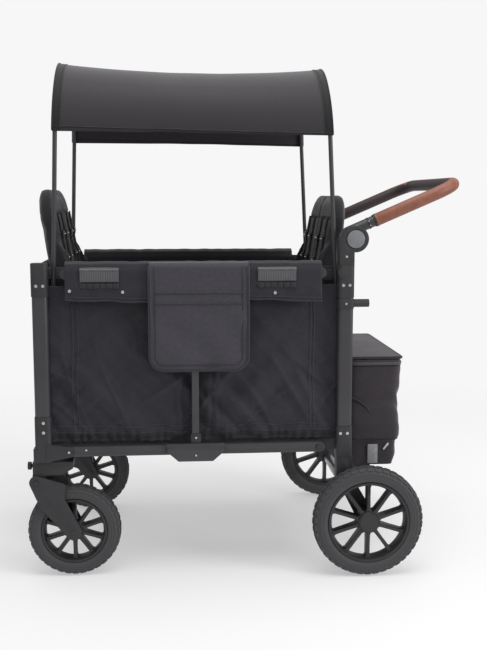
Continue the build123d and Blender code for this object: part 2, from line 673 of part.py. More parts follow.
def canopy_fabric():
    """Fabric roof over both bows, open below and at both ends."""
    inner = POLE_RADIUS + CANOPY_GAP
    outer = inner + CANOPY_THICK
    tall = BOW_TOP + POLE_DEPTH
    start = -FRONT_POLE_X + math.tan(math.radians(FRONT_BOW_LEAN)) * tall - CANOPY_OVERHANG
    finish = REAR_POLE_X - math.tan(math.radians(REAR_BOW_LEAN)) * tall + CANOPY_OVERHANG
    length = finish - start
    shell = extrude(arch_face(outer, start), amount=length, dir=(1, 0, 0))
    hollow = extrude(arch_face(inner, start - 1), amount=length + 2, dir=(1, 0, 0))
    return shell - hollow


def side_panel(side):
    """Fabric side wall, narrower above where the corner brackets stand."""
    y = across(side, SIDE_PANEL_Y - PANEL_THICK / 2, SIDE_PANEL_Y + PANEL_THICK / 2)
    wide = SLEEVE_ROOT - MOULD_LAP - 3
    narrow = PIVOT_X - EAR_RADIUS - 3
    step = TOP_HEIGHT - SLEEVE_HEIGHT - REAR_DROP - PANEL_STEP
    lower = block((-wide, wide), y, (TUB_BOTTOM, step))
    upper = block((-narrow, narrow), y, (step, TOP_HEIGHT))
    return lower + upper


def end_panel(end):
    """Fabric end wall between the two posts of one end."""
    outer = POST_X + POST_SIZE / 2 - (REAR_PANEL_INSET if end == REAR else FRONT_PANEL_INSET)
    top = TOP_HEIGHT - PANEL_STEP - (REAR_DROP if end == REAR else 0.0)
    x = (end * (outer - PANEL_THICK), end * outer)
    wide = POST_Y - POST_SIZE / 2 - SLEEVE_WALL - 1
    narrow = POLE_Y - EAR_RADIUS
    low = block(x, (-wide, wide), (TUB_BOTTOM, top - SLEEVE_HEIGHT))
    return low + block(x, (-narrow, narrow), (top - SLEEVE_HEIGHT, top))


def tub_base():
    """Sewn seat benches and footwell in one piece."""
    half_wide = POST_Y - POST_SIZE / 2 - SLEEVE_WALL - TUB_GAP
    wide = (-half_wide, half_wide)
    outer = POST_X - BENCH_FROM_POST
    inner = outer - BENCH_DEEP
    floor_x = (-inner - FLOOR_THICK, inner + FLOOR_THICK)
    body = block(floor_x, wide, (FLOOR_BOTTOM, FLOOR_BOTTOM + FLOOR_THICK))
    for end in (FRONT, REAR):
        bench = block((end * inner, end * outer), wide, (BENCH_HEIGHT - BENCH_THICK, BENCH_HEIGHT))
        riser = block((end * inner, end * (inner + FLOOR_THICK)), wide, (FLOOR_BOTTOM, BENCH_HEIGHT))
        body += bench + riser
    return body


def seat_back(end):
    """Padded seat back with side wings, leaning out over the end wall."""
    long = SEAT_LENGTH - (REAR_SEAT_SHORT if end == REAR else 0)
    half = SEAT_THICK / 2
    slab = block((-half, half), (-SEAT_HALF_WIDE, SEAT_HALF_WIDE), (0, long))
    slab = fillet(slab.edges().filter_by(Axis.X).sort_by(Axis.Z)[-2:], SEAT_CORNER)
    outline = [(0, WING_LOW), (-half - WING_DEEP, WING_CROWN), (0, long - WING_TOP_DROP)]
    for side in SIDES.values():
        slab += profile(outline, across(side, SEAT_HALF_WIDE - WING_THICK, SEAT_HALF_WIDE))
    if end == FRONT:
        slab = mirror(slab, about=Plane.YZ)
    foot_x = end * (POST_X - (REAR_SEAT_FOOT if end == REAR else FRONT_SEAT_FOOT))
    return Pos(foot_x, 0, BENCH_HEIGHT + SEAT_GAP) * Rot(0, end * SEAT_LEAN, 0) * slab


def flap(side):
    """Hanging fabric flap with round lower corners."""
    inner = PLATE_Y + PLATE_THICK + FLAP_GAP
    x = (FLAP_OFFSET - FLAP_HALF_LONG, FLAP_OFFSET + FLAP_HALF_LONG)
    body = block(x, across(side, inner, inner + FLAP_THICK), (FLAP_BOTTOM, TOP_HEIGHT - FLAP_DROP))
    lower = body.edges().filter_by(Axis.Y).sort_by(Axis.Z)[:2]
    return fillet(lower, FLAP_CORNER)


def rear_bag():
    """Open-topped hanging bag behind the rear posts."""
    outer = block((BAG_FRONT, BAG_FRONT + BAG_DEEP), (-BAG_HALF_WIDE, BAG_HALF_WIDE), (BAG_BOTTOM, BAG_TOP))
    hollow = block(
        (BAG_FRONT + BAG_WALL, BAG_FRONT + BAG_DEEP - BAG_WALL),
        (-BAG_HALF_WIDE + BAG_WALL, BAG_HALF_WIDE - BAG_WALL),
        (BAG_BOTTOM + BAG_WALL, BAG_TOP + 1),
    )
    return outer - hollow


def bag_lid():
    """Zipped lid of the rear bag."""
    bottom = BAG_TOP + BAG_GAP
    heights = (bottom, bottom + BAG_LID_THICK)
    return block((BAG_FRONT, BAG_FRONT + BAG_DEEP), (-BAG_HALF_WIDE, BAG_HALF_WIDE), heights)


def brake_pedal():
    """Foot pedal turning on the rear axle tube."""
    collar_y = (-PEDAL_COLLAR_HALF, PEDAL_COLLAR_HALF)
    collar = cross_rod(PEDAL_COLLAR_RADIUS, REAR_AXLE_X, AXLE_Z, collar_y)
    arm = profile(
        [
            (REAR_AXLE_X + 8, AXLE_Z + 17),
            (REAR_AXLE_X + 17, AXLE_Z + 2),
            (REAR_AXLE_X + PEDAL_REACH, AXLE_Z + 24),
            (REAR_AXLE_X + PEDAL_REACH - 5, AXLE_Z + 33),
        ],
        (-PEDAL_ARM_HALF, PEDAL_ARM_HALF),
    )
    pad = profile(
        [
            (REAR_AXLE_X + PEDAL_REACH - 14, AXLE_Z + 32),
            (REAR_AXLE_X + PEDAL_REACH - 9, AXLE_Z + 22),
            (REAR_AXLE_X + PEDAL_REACH + 24, AXLE_Z + 34),
            (REAR_AXLE_X + PEDAL_REACH + 21, AXLE_Z + 44),
        ],
        (-PEDAL_HALF_WIDE, PEDAL_HALF_WIDE),
    )
    body = collar + arm + pad
    return body - cross_rod(AXLE_TUBE_RADIUS + PIN_CLEARANCE, REAR_AXLE_X, AXLE_Z, collar_y)


def accessory_peg():
    """Round peg for hanging an accessory, on a clamp round the near rear post."""
    z = TOP_HEIGHT - PEG_DROP
    clamp = sleeve(REAR, NEAR, z - PEG_CLAMP_TALL / 2, z + PEG_CLAMP_TALL / 2)
    start = POST_X + POST_SIZE / 2 + SLEEVE_WALL / 2
    return clamp + rod(PEG_RADIUS, (start, -POST_Y, z), (start + PEG_LONG, -POST_Y, z))


def rivets(end):
    """The row of rivet heads on the brackets of one end, on both sides."""
    if end == REAR:
        upper, lower = TOP_HEIGHT - 52, REAR_FOOT_TOP - 15.5
        places = [(-7.5, upper), (7, upper), (-10, lower), (6, lower)]
    else:
        upper, lower = TOP_HEIGHT - 49, FRONT_FOOT_TOP - 12
        places = [(-6, upper), (9, upper), (2, lower), (2, lower - 22)]
    heads = []
    for side in SIDES.values():
        for offset, z in places:
            y = across(side, FACE_Y, FACE_Y + RIVET_PROUD)
            heads.append(cross_rod(RIVET_RADIUS, end * POST_X + offset, z, y))
    return Compound(heads)


def pair(make):
    """Both sides of a piece as one node."""
    return Compound([make(side) for side in SIDES.values()])


def build_nodes():
    """Every node of the wagon by name."""
    front_top = TOP_HEIGHT - CAP_THICK
    rear_sizes = (REAR_WHEEL_RADIUS, REAR_TYRE_TALL, REAR_TYRE_WIDE)
    front_sizes = (FRONT_WHEEL_RADIUS, FRONT_TYRE_TALL, FRONT_TYRE_WIDE)
    front_axle_x = -POST_X + CASTER_TRAIL
    rear_bore = AXLE_RADIUS + PIN_CLEARANCE
    front_bore = FRONT_AXLE_RADIUS + PIN_CLEARANCE
    nodes = {
        "rear_axle": rear_axle(),
        "rear_panel": end_panel(REAR),
        "rear_bag": rear_bag(),
        "bag_lid": bag_lid(),
        "accessory_peg": accessory_peg(),
        "rear_rivets": rivets(REAR),
        "brake_pedal": brake_pedal(),
        "handle_bar": handle_bar(),
        "handle_grip": handle_grip(),
        "top_rails_rear": pair(lambda side: top_rail(REAR, side)),
        "top_rails_front": pair(lambda side: top_rail(FRONT, side)),
        "centre_bars": pair(centre_bar),
        "front_panel": end_panel(FRONT),
        "front_rivets": rivets(FRONT),
        "canopy_bow_front": canopy_bow(FRONT),
        "canopy_bow_rear": canopy_bow(REAR),
        "canopy_fabric": canopy_fabric(),
        "seat_back_front": seat_back(FRONT),
        "seat_back_rear": seat_back(REAR),
        "tub_base": tub_base(),
    }
    for name, side in SIDES.items():
        rear_y = side * REAR_WHEEL_Y
        front_y = side * CASTER_Y
        nodes[f"rear_post_{name}"] = post(REAR, side, REAR_POST_BOTTOM, front_top - REAR_DROP)
        nodes[f"front_post_{name}"] = post(FRONT, side, FRONT_POST_BOTTOM, front_top)
        nodes[f"rear_top_bracket_{name}"] = top_bracket(REAR, side)
        nodes[f"front_top_bracket_{name}"] = top_bracket(FRONT, side)
        nodes[f"rear_foot_{name}"] = rear_foot(side)
        nodes[f"front_foot_{name}"] = front_foot(side)
        nodes[f"handle_upright_{name}"] = handle_upright(side)
        nodes[f"handle_button_{name}"] = handle_button(side)
        rear_hub = (HUB_RADIUS, rear_bore, HUB_WALL)
        front_hub = (FRONT_HUB_RADIUS, front_bore, 0)
        nodes[f"tyre_rear_{name}"] = tyre(REAR_AXLE_X, rear_y, *rear_sizes)
        nodes[f"rim_rear_{name}"] = rim(REAR_AXLE_X, side, rear_y, *rear_sizes, *rear_hub)
        nodes[f"tyre_front_{name}"] = tyre(front_axle_x, front_y, *front_sizes)
        nodes[f"rim_front_{name}"] = rim(front_axle_x, side, front_y, *front_sizes, *front_hub)
        nodes[f"bottom_rail_rear_{name}"] = bottom_rail(REAR, side)
        nodes[f"bottom_rail_front_{name}"] = bottom_rail(FRONT, side)
        nodes[f"centre_plate_{name}"] = centre_plate(side)
        nodes[f"caster_head_{name}"] = caster_head(side)
        nodes[f"caster_lock_{name}"] = caster_lock(side)
        nodes[f"caster_fork_{name}"] = caster_fork(side)
        nodes[f"side_panel_{name}"] = side_panel(side)
        nodes[f"flap_{name}"] = flap(side)
    return nodes


def main():
    """Build every node, centre the whole on its box, and write one STEP file each."""
    nodes = build_nodes()
    boxes = [shape.bounding_box() for shape in nodes.values()]
    low = min(box.min.X for box in boxes)
    high = max(box.max.X for box in boxes)
    middle = (low + high) / 2
    print(f"{len(nodes)} nodes, middle of the box at x = {middle:.3f}")
    os.makedirs("parts", exist_ok=True)
    for name, shape in nodes.items():
        export_step(Pos(-middle, 0, 0) * shape, f"parts/{name}.step")


main()
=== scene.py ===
import logging
import math
from dataclasses import dataclass, field
from enum import Enum
from typing import Callable, Iterable, Sequence

import bmesh
import bpy
from mathutils import Matrix, Vector, noise


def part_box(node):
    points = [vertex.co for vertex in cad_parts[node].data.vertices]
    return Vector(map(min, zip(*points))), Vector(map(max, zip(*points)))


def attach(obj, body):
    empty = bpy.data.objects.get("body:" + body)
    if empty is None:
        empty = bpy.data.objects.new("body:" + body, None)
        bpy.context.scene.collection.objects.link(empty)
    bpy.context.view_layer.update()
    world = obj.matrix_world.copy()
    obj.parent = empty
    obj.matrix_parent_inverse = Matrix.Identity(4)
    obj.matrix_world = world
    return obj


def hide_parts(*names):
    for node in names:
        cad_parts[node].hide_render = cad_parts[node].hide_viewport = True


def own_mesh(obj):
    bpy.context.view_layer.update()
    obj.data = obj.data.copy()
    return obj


"""Looks of the folding pull wagon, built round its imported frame.

Lengths inside the classes are millimetres measured from the middle of the four posts (x), the
middle plane (y) and the floor (z); Yard.at turns them into the frame's metres.
"""

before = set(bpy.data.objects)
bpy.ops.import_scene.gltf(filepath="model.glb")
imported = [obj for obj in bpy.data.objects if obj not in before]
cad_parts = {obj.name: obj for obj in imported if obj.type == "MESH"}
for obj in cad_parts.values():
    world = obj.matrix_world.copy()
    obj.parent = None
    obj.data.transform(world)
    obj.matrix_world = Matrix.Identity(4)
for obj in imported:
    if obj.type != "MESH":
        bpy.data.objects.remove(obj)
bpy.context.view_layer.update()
LOG = logging.getLogger("wagon")

MM = 0.001
NEAR, FAR = -1, 1
FRONT, REAR = -1, 1
SIDES = {"near": NEAR, "far": FAR}
ENDS = {"front": FRONT, "rear": REAR}

Point = tuple[float, float, float]
Place = Callable[[float, float], Point]


class Coords(Enum):
    """Where a finish takes its pattern from."""

    OBJECT = "Object"
    UV = "UV"


# ---------------------------------------------------------------- finishes


def linear(hex_colour: str) -> tuple[float, float, float, float]:
    """Turn an sRGB hex colour into linear light.

    Args:
        hex_colour: six hex digits.

    Returns:
        Red, green, blue and an alpha of one.
    """
    shares = [int(hex_colour[i : i + 2], 16) / 255 for i in (0, 2, 4)]
    light = [s / 12.92 if s <= 0.04045 else ((s + 0.055) / 1.055) ** 2.4 for s in shares]
    return (light[0], light[1], light[2], 1.0)


def add_node(
    tree: bpy.types.NodeTree, kind: str, settings: dict | None = None, links: dict | None = None
) -> bpy.types.Node:
    """Add one shader node with its settings and incoming links.

    Args:
        tree: the material's node tree.
        kind: the node's type name.
        settings: node properties, or socket values where the key is a socket's name or number.
        links: an output socket for each input socket's name or number.

    Returns:
        The new node.
    """
    node = tree.nodes.new(kind)
    for key, value in (settings or {}).items():
        if isinstance(key, str) and hasattr(node, key):
            setattr(node, key, value)
        else:
            node.inputs[key].default_value = value
    for key, output in (links or {}).items():
        tree.links.new(output, node.inputs[key])
    return node


@dataclass(frozen=True)
class Finish:
    """A surface with one main shader; a subclass adds its pattern."""

    name: str
    colour: str
    roughness: float = 0.5

    def make(self) -> bpy.types.Material:
        """Return the material, building it the first time."""
        found = bpy.data.materials.get(self.name)
        if found:
            return found
        material = bpy.data.materials.new(self.name)
        material.use_nodes = True
        tree = material.node_tree
        tree.nodes.clear()
        shader = add_node(tree, "ShaderNodeBsdfPrincipled", {"Roughness": self.roughness})
        shader.inputs["Base Color"].default_value = linear(self.colour)
        add_node(tree, "ShaderNodeOutputMaterial", links={"Surface": shader.outputs["BSDF"]})
        self.pattern(tree, shader)
        return material

    def pattern(self, tree: bpy.types.NodeTree, shader: bpy.types.Node) -> None:
        """Add what varies over the surface."""

    def mottle(
        self,
        tree: bpy.types.NodeTree,
        shader: bpy.types.Node,
        vector: bpy.types.NodeSocket,
        grain: float,
        spread: float,
    ) -> bpy.types.Node:
        """Vary the colour a little with noise.

        Args:
            tree: the material's node tree.
            shader: the main shader.
            vector: coordinates in metres.
            grain: size of the patches in millimetres.
            spread: how far the colour swings each way, as a share.

        Returns:
            The noise node, for further use.
        """
        cloud = add_node(
            tree,
            "ShaderNodeTexNoise",
            {"Scale": 1 / (grain * MM), "Detail": 4.0, "Roughness": 0.6},
            {"Vector": vector},
        )
        swing = add_node(
            tree,
            "ShaderNodeMapRange",
            {"From Min": 0.3, "From Max": 0.7, "To Min": 1 - spread, "To Max": 1 + spread},
            {"Value": cloud.outputs["Fac"]},
        )
        tint = add_node(
            tree,
            "ShaderNodeVectorMath",
            {"operation": "SCALE", 0: linear(self.colour)[:3]},
            {"Scale": swing.outputs["Result"]},
        )
        tree.links.new(tint.outputs["Vector"], shader.inputs["Base Color"])
        return cloud

    def relief(
        self,
        tree: bpy.types.NodeTree,
        shader: bpy.types.Node,
        height: bpy.types.NodeSocket,
        depth: float,
        strength: float = 0.6,
    ) -> None:
        """Raise the surface by a height pattern, given its depth in millimetres."""
        bump = add_node(
            tree, "ShaderNodeBump", {"Strength": strength, "Distance": depth * MM}, {"Height": height}
        )
        tree.links.new(bump.outputs["Normal"], shader.inputs["Normal"])


@dataclass(frozen=True)
class PowderCoat(Finish):
    """Baked satin powder on steel tube: fine orange peel and broad soft highlights."""

    peel: float = 1.6

    def pattern(self, tree: bpy.types.NodeTree, shader: bpy.types.Node) -> None:
        """Add orange peel and faint handling marks."""
        shader.inputs["IOR"].default_value = 1.5
        coords = add_node(tree, "ShaderNodeTexCoord").outputs["Object"]
        self.mottle(tree, shader, coords, 60, 0.1)
        peel = add_node(
            tree, "ShaderNodeTexNoise", {"Scale": 1 / (self.peel * MM), "Detail": 2.0}, {"Vector": coords}
        )
        wear = add_node(
            tree, "ShaderNodeTexNoise", {"Scale": 1 / (35 * MM), "Detail": 5.0}, {"Vector": coords}
        )
        rough = add_node(
            tree,
            "ShaderNodeMapRange",
            {"To Min": self.roughness - 0.08, "To Max": self.roughness + 0.1},
            {"Value": wear.outputs["Fac"]},
        )
        tree.links.new(rough.outputs["Result"], shader.inputs["Roughness"])
        self.relief(tree, shader, peel.outputs["Fac"], 0.06, 0.35)


@dataclass(frozen=True)
class MouldedPlastic(Finish):
    """Glass-filled nylon from a spark-eroded mould: dull, finely pitted, slightly uneven black."""

    grit: float = 0.9
    pitting: float = 0.12

    def pattern(self, tree: bpy.types.NodeTree, shader: bpy.types.Node) -> None:
        """Add the mould's grit and faint flow marks."""
        shader.inputs["IOR"].default_value = 1.53
        coords = add_node(tree, "ShaderNodeTexCoord").outputs["Object"]
        self.mottle(tree, shader, coords, 22, 0.14)
        grit = add_node(
            tree,
            "ShaderNodeTexVoronoi",
            {"Scale": 1 / (self.grit * MM), "Randomness": 1.0},
            {"Vector": coords},
        )
        self.relief(tree, shader, grit.outputs["Distance"], self.pitting, 0.5)


@dataclass(frozen=True)
class TyreRubber(Finish):
    """Vulcanised rubber: greyed black, dry and powdery, with road dust in the low places."""

    def pattern(self, tree: bpy.types.NodeTree, shader: bpy.types.Node) -> None:
        """Add dust patches and a coarse pebbled skin."""
        shader.inputs["IOR"].default_value = 1.52
        coords = add_node(tree, "ShaderNodeTexCoord").outputs["Object"]
        self.mottle(tree, shader, coords, 14, 0.22)
        pebble = add_node(
            tree, "ShaderNodeTexNoise", {"Scale": 1 / (1.4 * MM), "Detail": 3.0}, {"Vector": coords}
        )
        self.relief(tree, shader, pebble.outputs["Fac"], 0.25, 0.5)


@dataclass(frozen=True)
class PlatedSteel(Finish):
    """Zinc-plated steel: bright, with brushed streaks round the heads."""

    def pattern(self, tree: bpy.types.NodeTree, shader: bpy.types.Node) -> None:
        """Make it metal and add uneven polish."""
        shader.inputs["Metallic"].default_value = 1.0
        coords = add_node(tree, "ShaderNodeTexCoord").outputs["Object"]
        streak = add_node(
            tree, "ShaderNodeTexNoise", {"Scale": 1 / (2.5 * MM), "Detail": 3.0}, {"Vector": coords}
        )
        rough = add_node(
            tree,
            "ShaderNodeMapRange",
            {"To Min": self.roughness - 0.12, "To Max": self.roughness + 0.12},
            {"Value": streak.outputs["Fac"]},
        )
        tree.links.new(rough.outputs["Result"], shader.inputs["Roughness"])


@dataclass(frozen=True)
class WovenCloth(Finish):
    """Polyester canvas: crossed threads, a little heathering and a soft sheen at grazing angles."""

    coords: Coords = Coords.UV
    thread: float = 3.4  # the real thread is 0.4 mm; drawn coarse enough to show
    relief_depth: float = 0.35
    sheen: float = 0.25
    spread: float = 0.12

    def pattern(self, tree: bpy.types.NodeTree, shader: bpy.types.Node) -> None:
        """Cross the threads and let the dye vary."""
        shader.inputs["IOR"].default_value = 1.5
        shader.inputs["Specular IOR Level"].default_value = 0.3
        shader.inputs["Sheen Weight"].default_value = self.sheen
        shader.inputs["Sheen Roughness"].default_value = 0.5
        coords = add_node(tree, "ShaderNodeTexCoord").outputs[self.coords.value]
        self.mottle(tree, shader, coords, 9, self.spread)
        bands = 2 * math.pi / 20 / (self.thread * MM)
        threads = [
            add_node(
                tree,
                "ShaderNodeTexWave",
                {"Scale": bands, "bands_direction": direction, "Distortion": 0.6, "Detail": 1.0},
                {"Vector": coords},
            )
            for direction in ("X", "Y", "Z")
        ]
        weave = add_node(
            tree,
            "ShaderNodeMath",
            {"operation": "MULTIPLY"},
            {0: threads[0].outputs["Fac"], 1: threads[1].outputs["Fac"]},
        )
        cross = add_node(
            tree,
            "ShaderNodeMath",
            {"operation": "ADD"},
            {0: weave.outputs["Value"], 1: threads[2].outputs["Fac"]},
        )
        self.relief(tree, shader, cross.outputs["Value"], self.relief_depth, 0.45)


@dataclass(frozen=True)
class RibbedWebbing(Finish):
    """Woven nylon webbing: raised ribs across its width, catching light in fine stripes."""

    rib: float = 4.0

    def pattern(self, tree: bpy.types.NodeTree, shader: bpy.types.Node) -> None:
        """Stripe the ribs in height and shade."""
        coords = add_node(tree, "ShaderNodeTexCoord").outputs["UV"]
        ribs = add_node(
            tree,
            "ShaderNodeTexWave",
            {"Scale": 2 * math.pi / 20 / (self.rib * MM), "Distortion": 1.2, "Detail": 2.0},
            {"Vector": coords},
        )
        ramp = add_node(
            tree,
            "ShaderNodeMapRange",
            {"To Min": 0.65, "To Max": 1.25},
            {"Value": ribs.outputs["Fac"]},
        )
        tint = add_node(
            tree,
            "ShaderNodeVectorMath",
            {"operation": "SCALE", 0: linear(self.colour)[:3]},
            {"Scale": ramp.outputs["Result"]},
        )
        tree.links.new(tint.outputs["Vector"], shader.inputs["Base Color"])
        self.relief(tree, shader, ribs.outputs["Fac"], 0.5, 0.7)


@dataclass(frozen=True)
class StitchedLeather(Finish):
    """Tanned coated leather: warm brown with pores, creases and darker handling marks."""

    pore: float = 1.8

    def pattern(self, tree: bpy.types.NodeTree, shader: bpy.types.Node) -> None:
        """Add pores, creases and patchy colour."""
        shader.inputs["IOR"].default_value = 1.5
        coords = add_node(tree, "ShaderNodeTexCoord").outputs["Object"]
        self.mottle(tree, shader, coords, 12, 0.18)
        pores = add_node(
            tree, "ShaderNodeTexVoronoi", {"Scale": 1 / (self.pore * MM)}, {"Vector": coords}
        )
        self.relief(tree, shader, pores.outputs["Distance"], 0.25, 0.5)


@dataclass(frozen=True)
class StudioFloor(Finish):
    """White paper sweep that fades into the surround away from the wagon."""

    near: float = 0.9
    far: float = 2.4
    glow: float = 0.42

    def pattern(self, tree: bpy.types.NodeTree, shader: bpy.types.Node) -> None:
        """Lift the paper a little and thin it out with distance."""
        shader.inputs["Specular IOR Level"].default_value = 0.0
        shader.inputs["Emission Color"].default_value = linear("f7f7f7")
        shader.inputs["Emission Strength"].default_value = self.glow
        coords = add_node(tree, "ShaderNodeTexCoord").outputs["Object"]
        reach = add_node(tree, "ShaderNodeVectorMath", {"operation": "LENGTH"}, {0: coords})
        fade = add_node(
            tree,
            "ShaderNodeMapRange",
            {"interpolation_type": "SMOOTHSTEP", "From Min": self.near, "From Max": self.far},
            {"Value": reach.outputs["Value"]},
        )
        clear = add_node(tree, "ShaderNodeBsdfTransparent")
        blend = add_node(
            tree,
            "ShaderNodeMixShader",
            links={0: fade.outputs["Result"], 1: shader.outputs["BSDF"], 2: clear.outputs["BSDF"]},
        )
        output = next(node for node in tree.nodes if node.bl_idname == "ShaderNodeOutputMaterial")
        tree.links.new(blend.outputs["Shader"], output.inputs["Surface"])


TUBE = PowderCoat("satin_charcoal_powder_coat", "38363a", 0.4)
MOULDED = MouldedPlastic("moulded_black_nylon", "29282b", 0.6)
RIM_PLASTIC = MouldedPlastic("moulded_rim_nylon", "232224", 0.5)
CAP_PLASTIC = MouldedPlastic("smooth_grey_cap", "77787c", 0.5, grit=2.0, pitting=0.03)
FLAP_CLOTH = WovenCloth("flap_canvas", "3d3b42", 0.74)
RUBBER = TyreRubber("tyre_rubber", "2f2f31", 0.78)
STEEL = PlatedSteel("zinc_plated_steel", "c8c8cc", 0.32)
CANVAS = WovenCloth("coated_canvas", "27252c", 0.74)
CANVAS_PAD = WovenCloth("coated_canvas_padding", "1f1d23", 0.84, coords=Coords.OBJECT)
CANVAS_SEAM = WovenCloth("canvas_binding", "2a282e", 0.74, coords=Coords.OBJECT, spread=0.05)
BAG_CLOTH = WovenCloth("bag_cloth", "342f35", 0.78)
BAG_TAPE = WovenCloth("bag_zip_tape", "4a464c", 0.7, coords=Coords.OBJECT)
ROOF = WovenCloth("roof_cloth", "302c31", 0.86, thread=2.8, sheen=0.35, spread=0.05)
ROOF_HEM = WovenCloth("roof_binding", "1b191c", 0.85, coords=Coords.OBJECT)
WEBBING = RibbedWebbing("ribbed_grey_webbing", "565558", 0.75)
# Lighter, glossier grey for the strand along the top ridge of each rail pad.
WEBBING_EDGE = RibbedWebbing("lighter_webbing_ridge", "7b7a7d", 0.6)
STRAP = RibbedWebbing("black_strap_webbing", "1c1b1e", 0.75, rib=3.0)
LEATHER = StitchedLeather("stitched_brown_leather", "8a5442", 0.5)
# Darker brown for the push grip's faces that turn towards the wagon's middle: painted shade on the inner side
# of the U.
LEATHER_PAINTED_SHADE = StitchedLeather("leather_painted_inner_shade", "35282a", 0.6)
TAG = WovenCloth("reflective_tag", "8f8f92", 0.4, coords=Coords.OBJECT, sheen=0.1, spread=0.15)
THREAD_WHITE = WovenCloth("white_tape", "c9c9cb", 0.7, coords=Coords.OBJECT, sheen=0.1, spread=0.05)
FLOOR_PAINT = StudioFloor("studio_floor", "c4c4c4", 0.95)

# ---------------------------------------------------------------- places and shapes


class Yard:
    """Turns wagon millimetres into the frame's metres and finds the frame's sizes."""

    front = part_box("front_post_near")
    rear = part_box("rear_post_near")
    middle_x = (front[0][0] + front[1][0] + rear[0][0] + rear[1][0]) / 4
    post_x = ((rear[0][0] + rear[1][0]) / 2 - middle_x) / MM

    @classmethod
    def at(cls, x: float, y: float, z: float) -> Vector:
        """Return the place in metres of a point in wagon millimetres."""
        return Vector((cls.middle_x + x * MM, y * MM, z * MM))

    @classmethod
    def limits(cls, node: str) -> tuple[list[float], list[float]]:
        """Return a CAD node's lowest and highest corner in wagon millimetres."""
        low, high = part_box(node)
        shift = (cls.middle_x, 0.0, 0.0)
        return (
            [(value - move) / MM for value, move in zip(low, shift)],
            [(value - move) / MM for value, move in zip(high, shift)],
        )


def ripple(x: float, y: float, z: float, size: float, seed: float = 0.0) -> float:
    """Smooth noise between about minus one and one, over a size in millimetres."""
    return noise.noise(Vector((x / size + seed, y / size + 3.1 * seed, z / size - seed))) * 1.8


def ease(value: float, low: float, high: float) -> float:
    """Rise smoothly from nought to one between two limits."""
    share = min(1.0, max(0.0, (value - low) / (high - low)))
    return share * share * (3 - 2 * share)


def hump(value: float, centre: float, half: float) -> float:
    """A round-topped bump of height one about a centre."""
    share = abs(value - centre) / half
    return 0.5 + 0.5 * math.cos(math.pi * share) if share < 1 else 0.0


